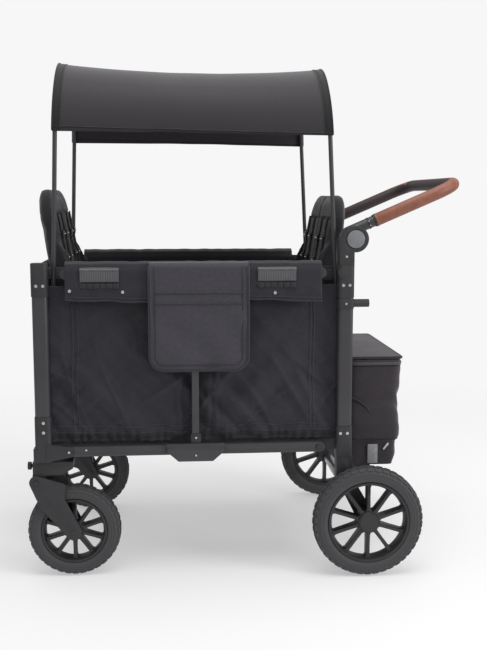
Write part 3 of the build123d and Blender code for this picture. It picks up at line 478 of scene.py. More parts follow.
@dataclass
class Shape:
    """One mesh under construction, in metres."""

    name: str
    work: bmesh.types.BMesh = field(default_factory=bmesh.new)
    finishes: list[Finish] = field(default_factory=list)

    def using(self, finish: Finish) -> int:
        """Return the material index of a finish, adding it when new."""
        if finish not in self.finishes:
            self.finishes.append(finish)
        return self.finishes.index(finish)

    def paint(self, faces: Iterable[bmesh.types.BMFace], finish: Finish | None) -> None:
        """Give faces a finish and smooth shading."""
        index = self.using(finish) if finish else 0
        for face in faces:
            face.material_index = index
            face.smooth = True

    def block(
        self,
        x: tuple[float, float],
        y: tuple[float, float],
        z: tuple[float, float],
        finish: Finish,
        round_by: float = 1.0,
        segments: int = 2,
        turn: Matrix | None = None,
    ) -> list[bmesh.types.BMVert]:
        """Add a box with rounded edges.

        Args:
            x: limits along the wagon.
            y: limits across the wagon.
            z: limits in height.
            finish: what it is made of.
            round_by: edge radius.
            segments: steps round each edge.
            turn: a rotation about the box's middle.

        Returns:
            The box's vertices.
        """
        sizes = Vector([abs(high - low) * MM for low, high in (x, y, z)])
        centre = Yard.at(*[(low + high) / 2 for low, high in (x, y, z)])
        before = set(self.work.faces)
        made = bmesh.ops.create_cube(self.work, size=1.0)["verts"]
        place = Matrix.Translation(centre) @ (turn or Matrix.Identity(4)) @ Matrix.Diagonal(sizes.to_4d())
        bmesh.ops.transform(self.work, matrix=place, verts=made)
        if round_by > 0:
            edges = list({edge for vert in made for edge in vert.link_edges})
            offset = min(round_by * MM, min(sizes) * 0.49)
            bmesh.ops.bevel(
                self.work,
                geom=edges,
                offset=offset,
                segments=segments,
                profile=0.5,
                affect="EDGES",
                material=-1,
            )
        faces = [face for face in self.work.faces if face not in before]
        self.paint(faces, finish)
        return list({vert for face in faces for vert in face.verts})

    def bar(
        self, start: Point, end: Point, radius: float, finish: Finish, sides: int = 24, round_by: float = 0.0
    ) -> None:
        """Add a round bar between two points, with rounded rims."""
        low, high = Yard.at(*start), Yard.at(*end)
        reach = high - low
        turn = reach.to_track_quat("Z", "Y").to_matrix().to_4x4()
        before = set(self.work.faces)
        made = bmesh.ops.create_cone(
            self.work,
            cap_ends=True,
            segments=sides,
            radius1=radius * MM,
            radius2=radius * MM,
            depth=reach.length,
            matrix=Matrix.Translation((low + high) / 2) @ turn,
        )["verts"]
        if round_by > 0:
            touching = {e for v in made for e in v.link_edges}
            rims = [e for e in touching if any(len(f.verts) > 4 for f in e.link_faces)]
            bmesh.ops.bevel(
                self.work,
                geom=rims,
                offset=round_by * MM,
                segments=3,
                profile=0.5,
                affect="EDGES",
                material=-1,
            )
        self.paint([face for face in self.work.faces if face not in before], finish)

    def lathe(
        self, outline: Sequence[tuple[float, float]], centre: Point, finish: Finish, steps: int = 72
    ) -> list[bmesh.types.BMFace]:
        """Turn a closed outline of (radius, offset along Y) about a cross axis.

        Args:
            outline: corner points, in order round the section.
            centre: the middle of the turned shape.
            finish: what it is made of.
            steps: facets round the circle.

        Returns:
            The new faces.
        """
        before = set(self.work.faces)
        middle = Yard.at(*centre)
        ring = [self.work.verts.new(middle + Vector((0, a * MM, r * MM))) for r, a in outline]
        edges = [self.work.edges.new((ring[i], ring[(i + 1) % len(ring)])) for i in range(len(ring))]
        bmesh.ops.spin(
            self.work,
            geom=ring + edges,
            cent=middle,
            axis=(0, 1, 0),
            angle=2 * math.pi,
            steps=steps,
            use_merge=True,
        )
        faces = [face for face in self.work.faces if face not in before]
        bmesh.ops.recalc_face_normals(self.work, faces=faces)
        self.paint(faces, finish)
        return faces

    def slab(
        self,
        outline: Sequence[tuple[float, float]],
        y: tuple[float, float],
        finish: Finish,
        round_by: float = 1.2,
    ) -> None:
        """Add a plate from a side-view outline of (x, z) points, with rounded edges."""
        before = set(self.work.faces)
        verts = [self.work.verts.new(Yard.at(x, min(y), z)) for x, z in outline]
        face = self.work.faces.new(verts)
        grown = bmesh.ops.extrude_face_region(self.work, geom=[face])["geom"]
        moved = [item for item in grown if isinstance(item, bmesh.types.BMVert)]
        bmesh.ops.translate(self.work, verts=moved, vec=(0, abs(y[1] - y[0]) * MM, 0))
        faces = [item for item in self.work.faces if item not in before]
        bmesh.ops.recalc_face_normals(self.work, faces=faces)
        edges = list({edge for item in faces for edge in item.edges})
        bmesh.ops.bevel(
            self.work, geom=edges, offset=round_by * MM, segments=2, profile=0.5, affect="EDGES", material=-1
        )
        self.paint([item for item in self.work.faces if item not in before], finish)

    def panel(
        self, outline: Sequence[tuple[float, float]], x: tuple[float, float], finish: Finish, round_by: float
    ) -> None:
        """Add a plate from an end-view outline of (y, z) points, with rounded edges."""
        before = set(self.work.faces)
        verts = [self.work.verts.new(Yard.at(x[0], y, z)) for y, z in outline]
        face = self.work.faces.new(verts)
        grown = bmesh.ops.extrude_face_region(self.work, geom=[face])["geom"]
        moved = [item for item in grown if isinstance(item, bmesh.types.BMVert)]
        bmesh.ops.translate(self.work, verts=moved, vec=((x[1] - x[0]) * MM, 0, 0))
        faces = [item for item in self.work.faces if item not in before]
        bmesh.ops.recalc_face_normals(self.work, faces=faces)
        edges = {e for item in faces for e in item.edges}
        rims = [e for e in edges if abs(e.verts[0].co.x - e.verts[1].co.x) < 1e-7]
        bmesh.ops.bevel(
            self.work, geom=rims, offset=round_by * MM, segments=3, profile=0.5, affect="EDGES", material=-1
        )
        self.paint([item for item in self.work.faces if item not in before], finish)

    def strand(
        self,
        points: Sequence[Point],
        radius: float,
        finish: Finish,
        closed: bool = False,
        smooth: bool = True,
    ) -> None:
        """Add a round cord, pipe or stitch line along points in wagon millimetres."""
        curve = bpy.data.curves.new("strand", "CURVE")
        curve.dimensions = "3D"
        curve.bevel_depth = radius * MM
        curve.bevel_resolution = 2
        curve.use_fill_caps = True
        curve.resolution_u = 4
        spline = curve.splines.new("NURBS" if smooth else "POLY")
        spline.points.add(len(points) - 1)
        for place, point in zip(spline.points, points):
            place.co = (*Yard.at(*point), 1.0)
        spline.use_cyclic_u = closed
        if smooth:
            spline.order_u = 3
            spline.use_endpoint_u = not closed
        holder = bpy.data.objects.new("strand", curve)
        mesh = bpy.data.meshes.new_from_object(holder)
        before = set(self.work.faces)
        self.work.from_mesh(mesh)
        self.paint([face for face in self.work.faces if face not in before], finish)
        bpy.data.objects.remove(holder)
        bpy.data.curves.remove(curve)
        bpy.data.meshes.remove(mesh)

    def sheet(
        self, columns: int, rows: int, size: tuple[float, float], place: Place, finish: Finish
    ) -> list[bmesh.types.BMFace]:
        """Add a sheet of cloth: a grid whose points are moved by a function of (u, v).

        Args:
            columns: faces along u.
            rows: faces along v.
            size: the cut size of the cloth along u and v, in millimetres.
            place: gives each point's place from its shares along u and v.
            finish: what it is made of.

        Returns:
            The new faces.
        """
        before = set(self.work.faces)
        layer = self.work.loops.layers.uv.verify()
        made = bmesh.ops.create_grid(self.work, x_segments=columns, y_segments=rows, size=0.5)["verts"]
        shares = {vert: (vert.co.x + 0.5, vert.co.y + 0.5) for vert in made}
        for vert in made:
            vert.co = Yard.at(*place(*shares[vert]))
        faces = [face for face in self.work.faces if face not in before]
        for face in faces:
            for loop in face.loops:
                u, v = shares[loop.vert]
                loop[layer].uv = (u * size[0] * MM, v * size[1] * MM)
        self.paint(faces, finish)
        return faces

    def copy_node(self, node: str, finish: Finish, round_by: float = 0.8) -> None:
        """Add a CAD node's mesh, merged and with its sharp edges rounded."""
        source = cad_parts[node].data
        part = bmesh.new()
        part.from_mesh(source)
        bmesh.ops.remove_doubles(part, verts=part.verts, dist=1e-6)
        bmesh.ops.dissolve_limit(
            part,
            angle_limit=math.radians(1.0),
            use_dissolve_boundaries=False,
            verts=part.verts,
            edges=part.edges,
        )
        sharp = [
            e for e in part.edges if len(e.link_faces) == 2 and e.calc_face_angle(0.0) > math.radians(38)
        ]
        bmesh.ops.bevel(
            part,
            geom=sharp,
            offset=round_by * MM,
            segments=2,
            profile=0.5,
            affect="EDGES",
            material=-1,
            clamp_overlap=True,
        )
        mesh = bpy.data.meshes.new("copy")
        part.to_mesh(mesh)
        part.free()
        before = set(self.work.faces)
        self.work.from_mesh(mesh)
        bpy.data.meshes.remove(mesh)
        self.paint([face for face in self.work.faces if face not in before], finish)

    def done(
        self,
        body: str,
        replaces: Sequence[str] = (),
        thickness: float = 0.0,
        subdivide: int = 0,
        sharp: float = 35.0,
    ) -> bpy.types.Object:
        """Turn the work into an object that rides on a body.

        Args:
            body: the CAD body it moves with.
            replaces: CAD nodes it stands for.
            thickness: cloth thickness in millimetres, added both ways.
            subdivide: levels of subdivision.
            sharp: angle in degrees above which an edge stays sharp.

        Returns:
            The finished object.
        """
        self.work.normal_update()
        mesh = bpy.data.meshes.new(self.name)
        self.work.to_mesh(mesh)
        self.work.free()
        mesh.set_sharp_from_angle(angle=math.radians(sharp))
        for finish in self.finishes:
            mesh.materials.append(finish.make())
        piece = bpy.data.objects.new(self.name, mesh)
        bpy.context.scene.collection.objects.link(piece)
        if thickness:
            solid = piece.modifiers.new("cloth", "SOLIDIFY")
            solid.thickness = thickness * MM
            solid.offset = 0.0
            solid.use_even_offset = False
        if subdivide:
            smooth = piece.modifiers.new("smooth", "SUBSURF")
            smooth.levels = subdivide
            smooth.render_levels = subdivide
        if thickness or subdivide:
            bake_modifiers(piece)
        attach(piece, body)
        if replaces:
            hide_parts(*replaces)
        LOG.info("%s rides on %s with %d faces", self.name, body, len(piece.data.polygons))
        return piece


def bake_modifiers(piece: bpy.types.Object) -> None:
    """Apply a piece's modifiers to its mesh."""
    graph = bpy.context.evaluated_depsgraph_get()
    graph.update()
    mesh = bpy.data.meshes.new_from_object(piece.evaluated_get(graph))
    old = piece.data
    piece.modifiers.clear()
    piece.data = mesh
    name = old.name
    bpy.data.meshes.remove(old)
    mesh.name = name


def dress(node: str, finish: Finish) -> None:
    """Give a CAD node that is shown as it is its finish."""
    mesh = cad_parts[node].data
    mesh.materials.clear()
    mesh.materials.append(finish.make())


def both(name: str) -> list[str]:
    """The near and far names of a node."""
    return [f"{name}_{side}" for side in SIDES]


def crumple(piece: bpy.types.Object, anchor_x: float | None = None) -> bpy.types.Object:
    """Give a piece its own copy of its mesh.

    Args:
        piece: the cloth or pad.
        anchor_x: the end that would stay put, the rear posts when left out; not used.

    Returns:
        The piece.
    """
    anchor = Yard.at(Yard.post_x - 17 if anchor_x is None else anchor_x, 0, 300)
    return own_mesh(piece)


# ---------------------------------------------------------------- camera and light


@dataclass(frozen=True)
class Studio:
    """Pale floor, soft light and the camera."""

    camera_x: float = -63.35
    camera_y: float = -2381.2
    camera_z: float = 857.8
    pan: float = 4.65
    tilt: float = 7.56
    lens: float = 52.96
    floor_half: float = 9000.0

    def build(self) -> None:
        """Place everything that isn't the wagon."""
        scene = bpy.context.scene
        scene.view_settings.view_transform = "Standard"
        self.camera(scene)
        self.light(scene)
        self.floor()

    def camera(self, scene: bpy.types.Scene) -> None:
        """Set the camera."""
        data = bpy.data.cameras.new("camera")
        data.lens = self.lens
        data.sensor_width = 36.0
        camera = bpy.data.objects.new("camera", data)
        camera.location = Yard.at(self.camera_x, self.camera_y, self.camera_z)
        camera.rotation_euler = (math.radians(90 - self.tilt), 0, math.radians(-self.pan))
        scene.collection.objects.link(camera)
        scene.camera = camera

    def lamp(self, scene: bpy.types.Scene, place: Point, target: Point, size: float, watts: float) -> None:
        """Hang one square soft lamp."""
        data = bpy.data.lights.new("softbox", "AREA")
        data.shape = "SQUARE"
        data.size = size
        data.energy = watts
        lamp = bpy.data.objects.new("softbox", data)
        lamp.location = Vector(place)
        lamp.rotation_euler = (Vector(target) - Vector(place)).to_track_quat("-Z", "Y").to_euler()
        scene.collection.objects.link(lamp)

    def light(self, scene: bpy.types.Scene) -> None:
        """Even pale surround with a large soft lamp above and fill from the front."""
        world = bpy.data.worlds.new("surround")
        world.use_nodes = True
        tree = world.node_tree
        tree.nodes.clear()
        seen = add_node(tree, "ShaderNodeLightPath").outputs["Is Camera Ray"]
        strength = add_node(tree, "ShaderNodeMapRange", {"To Min": 0.62, "To Max": 1.0}, {"Value": seen})
        glow = add_node(
            tree,
            "ShaderNodeBackground",
            {"Color": linear("f7f7f7")},
            {"Strength": strength.outputs["Result"]},
        )
        add_node(tree, "ShaderNodeOutputWorld", links={"Surface": glow.outputs["Background"]})
        scene.world = world
        self.lamp(scene, (0.1, -0.5, 3.2), (0, 0, 0.4), 2.4, 54)
        self.lamp(scene, (2.6, -1.7, 1.5), (0, 0, 0.5), 0.9, 30)

    def floor(self) -> None:
        """A pale floor just under the wheels."""
        shape = Shape("studio_floor")
        half = self.floor_half

        def place(u: float, v: float) -> Point:
            """A point on the floor, u along the wagon and v across it."""
            return ((u - 0.5) * 2 * half, (v - 0.5) * 2 * half, -0.2)

        shape.sheet(1, 1, (2 * half, 2 * half), place, FLOOR_PAINT)
        mesh = bpy.data.meshes.new("studio_floor")
        shape.work.to_mesh(mesh)
        shape.work.free()
        mesh.materials.append(FLOOR_PAINT.make())
        floor = bpy.data.objects.new("studio_floor", mesh)
        bpy.context.scene.collection.objects.link(floor)


# ---------------------------------------------------------------- wheels


@dataclass
class Wheel:
    """A foam-filled tyre with shoulder knobs on a ten-spoke rim."""

    name: str
    body: str
    tyre_node: str
    rim_node: str
    side: int
    lip: float
    hub: float
    cap: float
    knobs: int
    spokes: int = 10
    spoke_thick: float = 8.6

    def build(self) -> None:
        """Build the tyre and the rim."""
        low, high = Yard.limits(self.tyre_node)
        self.centre = tuple((a + b) / 2 for a, b in zip(low, high))
        self.radius = (high[2] - low[2]) / 2
        self.half = (high[1] - low[1]) / 2
        self.tyre()
        self.rim()

    def tyre(self) -> None:
        """Tyre carcass with rounded shoulders, sidewall rings and tread knobs."""
        shape = Shape(f"{self.name}_tyre")
        crown = self.radius - 2.6
        side = self.half - 1.0
        wall = self.radius - self.lip
        outline: list[tuple[float, float]] = []
        for share, inset, sign in self.section():
            outline.append((self.lip + wall * share, sign * (side - inset)))
        outline = [(min(r, crown), a) for r, a in outline]
        shape.lathe(outline, self.centre, RUBBER, steps=96)
        for offset in (0.36, 0.56):
            ring = self.lip + wall * offset
            for sign in (NEAR, FAR):
                points = [
                    (
                        self.centre[0] + ring * math.sin(2 * math.pi * i / 48),
                        self.centre[1] + sign * (side - 0.1),
                        self.centre[2] + ring * math.cos(2 * math.pi * i / 48),
                    )
                    for i in range(48)
                ]
                shape.strand(points, 0.8, RUBBER, closed=True)
        self.tread(shape)
        shape.done(self.body, [self.tyre_node], sharp=50)

    def section(self) -> list[tuple[float, float, int]]:
        """Half sections of the carcass as (share of the wall, inset from the side, side)."""
        crown = [(0.0, 5.0), (0.1, 1.6), (0.25, 0.2), (0.5, 0.0)]
        half = crown + [(0.66, 1.6), (0.82, 5.0), (0.94, 10.0), (1.0, 15.0)]
        left = [(share, inset, NEAR) for share, inset in half]
        right = [(share, inset, FAR) for share, inset in reversed(half)]
        return left + right

    def tread(self, shape: Shape) -> None:
        """Shoulder knobs and a staggered centre row round the tyre."""
        centre = Yard.at(*self.centre)
        for index in range(self.knobs):
            for row, (offset, wide, long, drop) in enumerate(
                (
                    (-0.68, 0.34, 0.62, 3.4),
                    (0.68, 0.34, 0.62, 3.4),
                    (-0.2, 0.3, 0.58, 0.2),
                    (0.2, 0.3, 0.58, 0.2),
                )
            ):
                stagger = 0.5 if row % 2 else 0.0
                angle = 2 * math.pi * (index + stagger) / self.knobs
                pitch = 2 * math.pi * self.radius / self.knobs
                before = set(shape.work.faces)
                made = bmesh.ops.create_cube(shape.work, size=1.0)["verts"]
                size = Vector((pitch * long * MM, self.half * wide * MM, 5.0 * MM))
                lean = Matrix.Rotation(math.radians(28) * math.copysign(abs(offset) > 0.5, offset), 4, "X")
                lift = Matrix.Translation((0, self.half * offset * MM, (self.radius - 2.55 - drop) * MM))
                turn = Matrix.Rotation(angle, 4, "Y")
                place = Matrix.Translation(centre) @ turn @ lift
                place = place @ lean.inverted() @ Matrix.Diagonal(size.to_4d())
                bmesh.ops.transform(shape.work, matrix=place, verts=made)
                shape.paint([face for face in shape.work.faces if face not in before], RUBBER)

    def rim(self) -> None:
        """Barrel with lips, tapered spokes and a capped hub."""
        shape = Shape(f"{self.name}_rim")
        half = self.half - 5
        lip = self.lip - 0.3
        barrel = [
            (lip, -half - 2),
            (lip, half + 2),
            (lip - 4.5, half + 2.5),
            (lip - 6.5, half - 1),
            (lip - 9, 6),
            (lip - 9, -6),
            (lip - 6.5, -half + 1),
            (lip - 4.5, -half - 2.5),
        ]
        shape.lathe(barrel, self.centre, RIM_PLASTIC, steps=96)
        hub_half = self.half - 1.5
        hub = self.hub
        hub_outline = [
            (0.01, -hub_half),
            (self.cap, -hub_half),
            (self.cap + 1, -hub_half + 1.5),
            (hub - 1.5, -hub_half + 1.5),
            (hub, -hub_half + 3.5),
            (hub + 1, 0),
            (hub, hub_half - 3.5),
            (hub - 1.5, hub_half - 1.5),
            (self.cap + 1, hub_half - 1.5),
            (self.cap, hub_half),
            (0.01, hub_half),
        ]
        shape.lathe(hub_outline, self.centre, RIM_PLASTIC, steps=48)
        for index in range(self.spokes):
            self.spoke(shape, 2 * math.pi * index / self.spokes, hub, lip - 8)
        shape.done(self.body, [self.rim_node], sharp=40)

    def spoke(self, shape: Shape, angle: float, start: float, end: float) -> None:
        """One spoke, deep and thin, flaring where it meets hub and barrel."""
        before = set(shape.work.faces)
        made = bmesh.ops.create_grid(shape.work, x_segments=1, y_segments=1, size=0.5)["verts"]
        thick, deep = self.spoke_thick * MM, (self.half * 2 - 20) * MM
        for vert in made:
            vert.co = Vector((vert.co.x * (thick + 7 * MM), vert.co.y * (deep + 4 * MM), (start - 2) * MM))
        stations = [(start + 5, 0.0, 1.0), ((start + end) / 2, -0.8, 0.0)]
        stations += [(end - 5, 0.0, -2.0), (end + 1, 6.0, -2.0)]
        region = [face for face in shape.work.faces if face not in before]
        for radius, flare, widen in stations:
            grown = bmesh.ops.extrude_face_region(shape.work, geom=region)["geom"]
            verts = [item for item in grown if isinstance(item, bmesh.types.BMVert)]
            region = [item for item in grown if isinstance(item, bmesh.types.BMFace)]
            for vert in verts:
                vert.co.x = math.copysign((thick + flare * MM) / 2, vert.co.x)
                vert.co.y = math.copysign((deep + widen * MM) / 2, vert.co.y)
                vert.co.z = radius * MM
        faces = [face for face in shape.work.faces if face not in before]
        bmesh.ops.recalc_face_normals(shape.work, faces=faces)
        edges = {e for f in faces for e in f.edges}
        sides = [e for e in edges if abs(e.verts[0].co.z - e.verts[1].co.z) > 1e-5]
        bmesh.ops.bevel(
            shape.work, geom=sides, offset=1.3 * MM, segments=2, profile=0.5, affect="EDGES", material=-1
        )
        faces = [face for face in shape.work.faces if face not in before]
        verts = list({vert for face in faces for vert in face.verts})
        place = Matrix.Translation(Yard.at(*self.centre)) @ Matrix.Rotation(angle, 4, "Y")
        bmesh.ops.transform(shape.work, matrix=place, verts=verts)
        shape.paint(faces, RIM_PLASTIC)


# ---------------------------------------------------------------- frame details


@dataclass
class HardParts:
    """Posts, rails, brackets, feet, casters and the small fasteners."""

    def build(self) -> None:
        """Round the edges of the CAD parts and finish them."""
        tubes = {
            "rear_frame": both("rear_post"),
            "front_frame": both("front_post"),
            "bottom_rails_rear": both("bottom_rail_rear"),
            "bottom_rails_front": both("bottom_rail_front"),
            "top_rails_rear": ["top_rails_rear"],
            "top_rails_front": ["top_rails_front"],
            "centre_strut": ["centre_bars", *both("centre_plate")],
        }
        for body, nodes in tubes.items():
            for node in nodes:
                self.rounded(node, body, TUBE)
        plastics = {
            "rear_frame": [
                *both("rear_top_bracket"),
                *both("rear_foot"),
                *both("handle_upright"),
                "accessory_peg",
            ],
            "front_frame": [*both("front_top_bracket"), *both("front_foot")],
            "brake_pedal": ["brake_pedal"],
        }
        for side in SIDES:
            plastics[f"caster_{side}"] = [f"caster_head_{side}"]
            plastics[f"fork_{side}"] = [f"caster_fork_{side}"]
            plastics[f"lock_{side}"] = [f"caster_lock_{side}"]
        for body, nodes in plastics.items():
            for node in nodes:
                self.rounded(node, body, MOULDED)
        for side in SIDES:
            self.rounded(f"handle_button_{side}", f"button_{side}", CAP_PLASTIC)
        for node in ("rear_axle", "rear_rivets", "front_rivets"):
            dress(node, STEEL)
        for node in ("canopy_bow_front", "canopy_bow_rear", "handle_bar"):
            dress(node, TUBE)

    def rounded(self, node: str, body: str, finish: Finish) -> None:
        """Replace a CAD node with its own shape, edges rounded."""
        shape = Shape(f"{node}_body")
        shape.copy_node(node, finish)
        shape.done(body, [node], sharp=38)


@dataclass
class Fasteners:
    """Rivet and bolt heads, drawn as turned heads pressed on their plates."""

    def head(self, shape: Shape, x: float, y: float, z: float, radius: float, proud: float = 1.2) -> None:
        """One rivet head standing out of a face at y."""
        side = math.copysign(1.0, y)
        shape.bar((x, y - side * 0.6, z), (x, y + side * proud, z), radius, STEEL, 16, 0.5)

    def build(self) -> None:
        """Rivets of the rails, centre plates, feet, uprights and peg."""
        for name, side in SIDES.items():
            plates = Shape(f"plate_rivets_{name}")
            for x, z, radius in ((-59.1, 295.5, 2.6), (58.7, 295.5, 2.6), (0.5, 281.5, 2.2)):
                self.head(plates, x, side * 276.5, z, radius)
            plates.block((-11, 12), (side * 269.5, side * 272.4), (306, 330), MOULDED, 2.0)
            self.head(plates, 0.8, side * 272.3, 321, 2.4)
            plates.done("centre_strut", sharp=40)
            front = Shape(f"front_rivets_{name}")
            self.head(front, -283.5, side * 274.5, 293.5, 2.8, 1.0)
            front.done("front_frame", sharp=40)
            rail = Shape(f"rail_rivet_{name}")
            self.head(rail, -245.5, side * 270.0, 297.0, 2.4)
            rail.done("bottom_rails_front", sharp=40)
            rear = Shape(f"rear_bosses_{name}")
            self.head(rear, 339.5, side * 271.5, 728.0, 2.8)
            rear.bar((333, side * 271.0, 692), (333, side * 273.0, 692), 12.0, MOULDED, 32, 0.8)
            rear.bar((333, side * 272.5, 692), (333, side * 273.6, 692), 8.0, MOULDED, 32, 0.5)
            if side == NEAR:
                self.head(rear, 340.0, side * 271.5, 622.0, 2.4)
            rear.done("rear_frame", sharp=40)


# ---------------------------------------------------------------- push bar


@dataclass
class PushBar:
    """Leather grip on the push bar."""

    def build(self) -> None:
        """Wrap the grip and its end collars."""
        shape = Shape("push_grip")
        shape.copy_node("handle_grip", LEATHER, round_by=0.6)
        # Faces that turn towards the wagon's middle, on the arms and the cross bar, get the darker brown:
        # painted shade on the inner side of the U.
        dark = shape.using(LEATHER_PAINTED_SHADE)
        _, high = Yard.limits("handle_grip")
        bar_x = high[0] - 14.5
        for face in shape.work.faces:
            centre = face.calc_center_median()
            x = (centre.x - Yard.middle_x) / MM
            y = centre.y / MM
            inward = -face.normal.y if y > 0 else face.normal.y
            if x > bar_x - 30 and abs(y) < 190:
                inward = max(inward, -face.normal.x)
            if inward > 0.35:
                face.material_index = dark
        slope = math.radians(23.3)
        collars = ((66.0, 15.0, LEATHER), (62.0, 14.2, MOULDED), (47.0, 13.4, MOULDED))
        for side in SIDES.values():
            for along, radius, finish in collars:
                x = 360.0 - math.sin(slope) * 17.1 + math.cos(slope) * along
                z = 767.0 + math.cos(slope) * 17.1 + math.sin(slope) * along
                step = (math.cos(slope) * 2.2, 0.0, math.sin(slope) * 2.2)
                start = (x - step[0], side * 230.0, z - step[2])
                shape.bar(start, (x + step[0], side * 230.0, z + step[2]), radius, finish, 32, 0.6)
            for rise in (-5.0, 5.0):
                x = 360.0 - math.sin(slope) * (17.1 + rise) + math.cos(slope) * 47.0
                z = 767.0 + math.cos(slope) * (17.1 + rise) + math.sin(slope) * 47.0
                shape.bar((x, side * 241.0, z), (x, side * 244.0, z), 1.6, STEEL, 12, 0.4)
        shape.done("push_handle", ["handle_grip"], sharp=50)


# ---------------------------------------------------------------- roof


@dataclass
class Roof:
    """Stretched cloth roof over the two bows, with hems round the bows and along the sides."""

    sag: float = 15.0
    pole_y: float = 229.0
    shoulder: float = 1060.0
    crown_y: float = 140.0
    crown: float = 1159.0
    shoulder_bend: float = 150.0
    crown_bend: float = 148.0
    hem_front: float = 1013.0
    hem_rear: float = 1000.0
    rear_drop: float = 7.0
    front_top_x: float = -296.8
    rear_top_x: float = 298.7
    stand_off: float = 6.4

    def arch(self, grow: float, hem: float, count: int = 240) -> list[tuple[float, float]]:
        """Evenly spaced (y, z) points over the bow, from the near hem to the far hem.

        Args:
            grow: distance outside the pole's centre line.
            hem: height of both hems.
            count: steps along the arch.

        Returns:
            The points.
        """
        lean = math.atan2(self.pole_y - self.crown_y, self.crown - self.shoulder)
        side = self.pole_y + grow
        corner_z = self.shoulder + grow * math.tan(lean / 2)
        crown_y = self.crown_y + grow * math.tan((math.pi / 2 - lean) / 2)
        corners = [
            (side, corner_z, self.shoulder_bend + grow),
            (crown_y, self.crown + grow, self.crown_bend + grow),
        ]
        half: list[Vector] = [Vector((side, hem))]
        ends = [Vector((side, hem)), Vector((0.0, self.crown + grow))]
        marks = [ends[0], Vector(corners[0][:2]), Vector(corners[1][:2]), ends[1]]
        for index, (_, _, bend) in enumerate(corners):
            before, at, after = marks[index], marks[index + 1], marks[index + 2]
            toward, away = (at - before).normalized(), (after - at).normalized()
            turn = toward.angle(away)
            reach = bend * math.tan(turn / 2)
            start = at - toward * reach
            inward = Vector((-toward.y, toward.x))
            middle = start + inward * bend
            for step in range(13):
                angle = turn * step / 12
                spoke = start - middle
                c, s = math.cos(angle), math.sin(angle)
                half.append(middle + Vector((spoke.x * c - spoke.y * s, spoke.x * s + spoke.y * c)))
        half.append(ends[1])
        near = [Vector((-point.x, point.y)) for point in half]
        path = near + [point for point in reversed(half)][1:]
        lengths = [0.0]
        for a, b in zip(path, path[1:]):
            lengths.append(lengths[-1] + (b - a).length)
        points, index = [], 0
        for step in range(count + 1):
            run = lengths[-1] * step / count
            while index < len(path) - 2 and lengths[index + 1] < run:
                index += 1
            span = max(1e-9, lengths[index + 1] - lengths[index])
            spot = path[index].lerp(path[index + 1], (run - lengths[index]) / span)
            points.append((spot.x, spot.y))
        return points

    def prepare(self) -> None:
        """Sample both bows' arches once."""
        self.front_arch = self.arch(self.stand_off, self.hem_front)
        level_arch = self.arch(self.stand_off, self.hem_rear + self.rear_drop)
        self.rear_arch = [(y, z - self.rear_drop) for y, z in level_arch]

    def place(self, u: float, v: float, lift: float = 0.0) -> Point:
        """A point on the roof, u along the wagon and v over it."""
        index = v * (len(self.front_arch) - 1)
        low = min(len(self.front_arch) - 2, int(index))
        part = index - low
        share = min(1.0, max(0.0, u))
        spots = []
        for arch in (self.front_arch, self.rear_arch):
            spots.append([arch[low][i] * (1 - part) + arch[low + 1][i] * part for i in (0, 1)])
        y = spots[0][0] * (1 - share) + spots[1][0] * share
        z = spots[0][1] * (1 - share) + spots[1][1] * share
        up = ease(z, 1010, 1140)
        pull = math.sin(math.pi * share)
        z -= pull**0.8 * self.sag * up
        y *= 1 - 0.022 * pull - 0.02 * pull * (1 - up)
        y += ripple(u * 560, 0, z, 150, 2.0) * 1.2 * pull
        z += 0.8 * ripple(u * 560, y, 0, 90, 3.0) * pull
        x_front = self.front_top_x - (self.crown - z) * 0.0332 - 5.5
        x_rear = self.rear_top_x + (self.crown - self.rear_drop - z) * 0.0489 + 5.5
        x = x_front + (x_rear - x_front) * u
        return (x, y * (1 + lift / 240.0), z + lift * up)

    def build(self) -> None:
        """Stretch the roof and bind its edges."""
        self.prepare()
        shape = Shape("roof_cloth")
        shape.sheet(64, 120, (610, 820), self.place, ROOF)
        anchor = self.front_top_x
        piece = shape.done("canopy_front", ["canopy_fabric"], thickness=1.2, sharp=60)
        crumple(piece, anchor)
        hems = Shape("roof_hems")
        for u in (0.0, 1.0):
            inward = 1 if u == 0 else -1
            hems.sheet(
                4,
                110,
                (16, 820),
                lambda a, b, u=u, inward=inward: self.place(u + inward * (a * 0.028 - 0.002), b, 0.9),
                ROOF_HEM,
            )
            points = [self.place(u + inward * 0.027, i / 80, 1.2) for i in range(81)]
            hems.strand(points, 0.8, ROOF_HEM)
            points = [self.place(u, i / 80, 0.5) for i in range(81)]
            hems.strand(points, 1.6, ROOF_HEM)
        for v, step in ((0.0, 1), (1.0, -1)):
            points = [self.place(i / 40, v, 0.3) for i in range(41)]
            hems.strand(points, 1.5, ROOF_HEM)
            points = [self.place(i / 40, v + step * 0.014, 1.0) for i in range(41)]
            hems.strand(points, 0.7, ROOF_HEM)
        piece = hems.done("canopy_front", thickness=0.8, sharp=60)
        crumple(piece, anchor)


# ---------------------------------------------------------------- tub


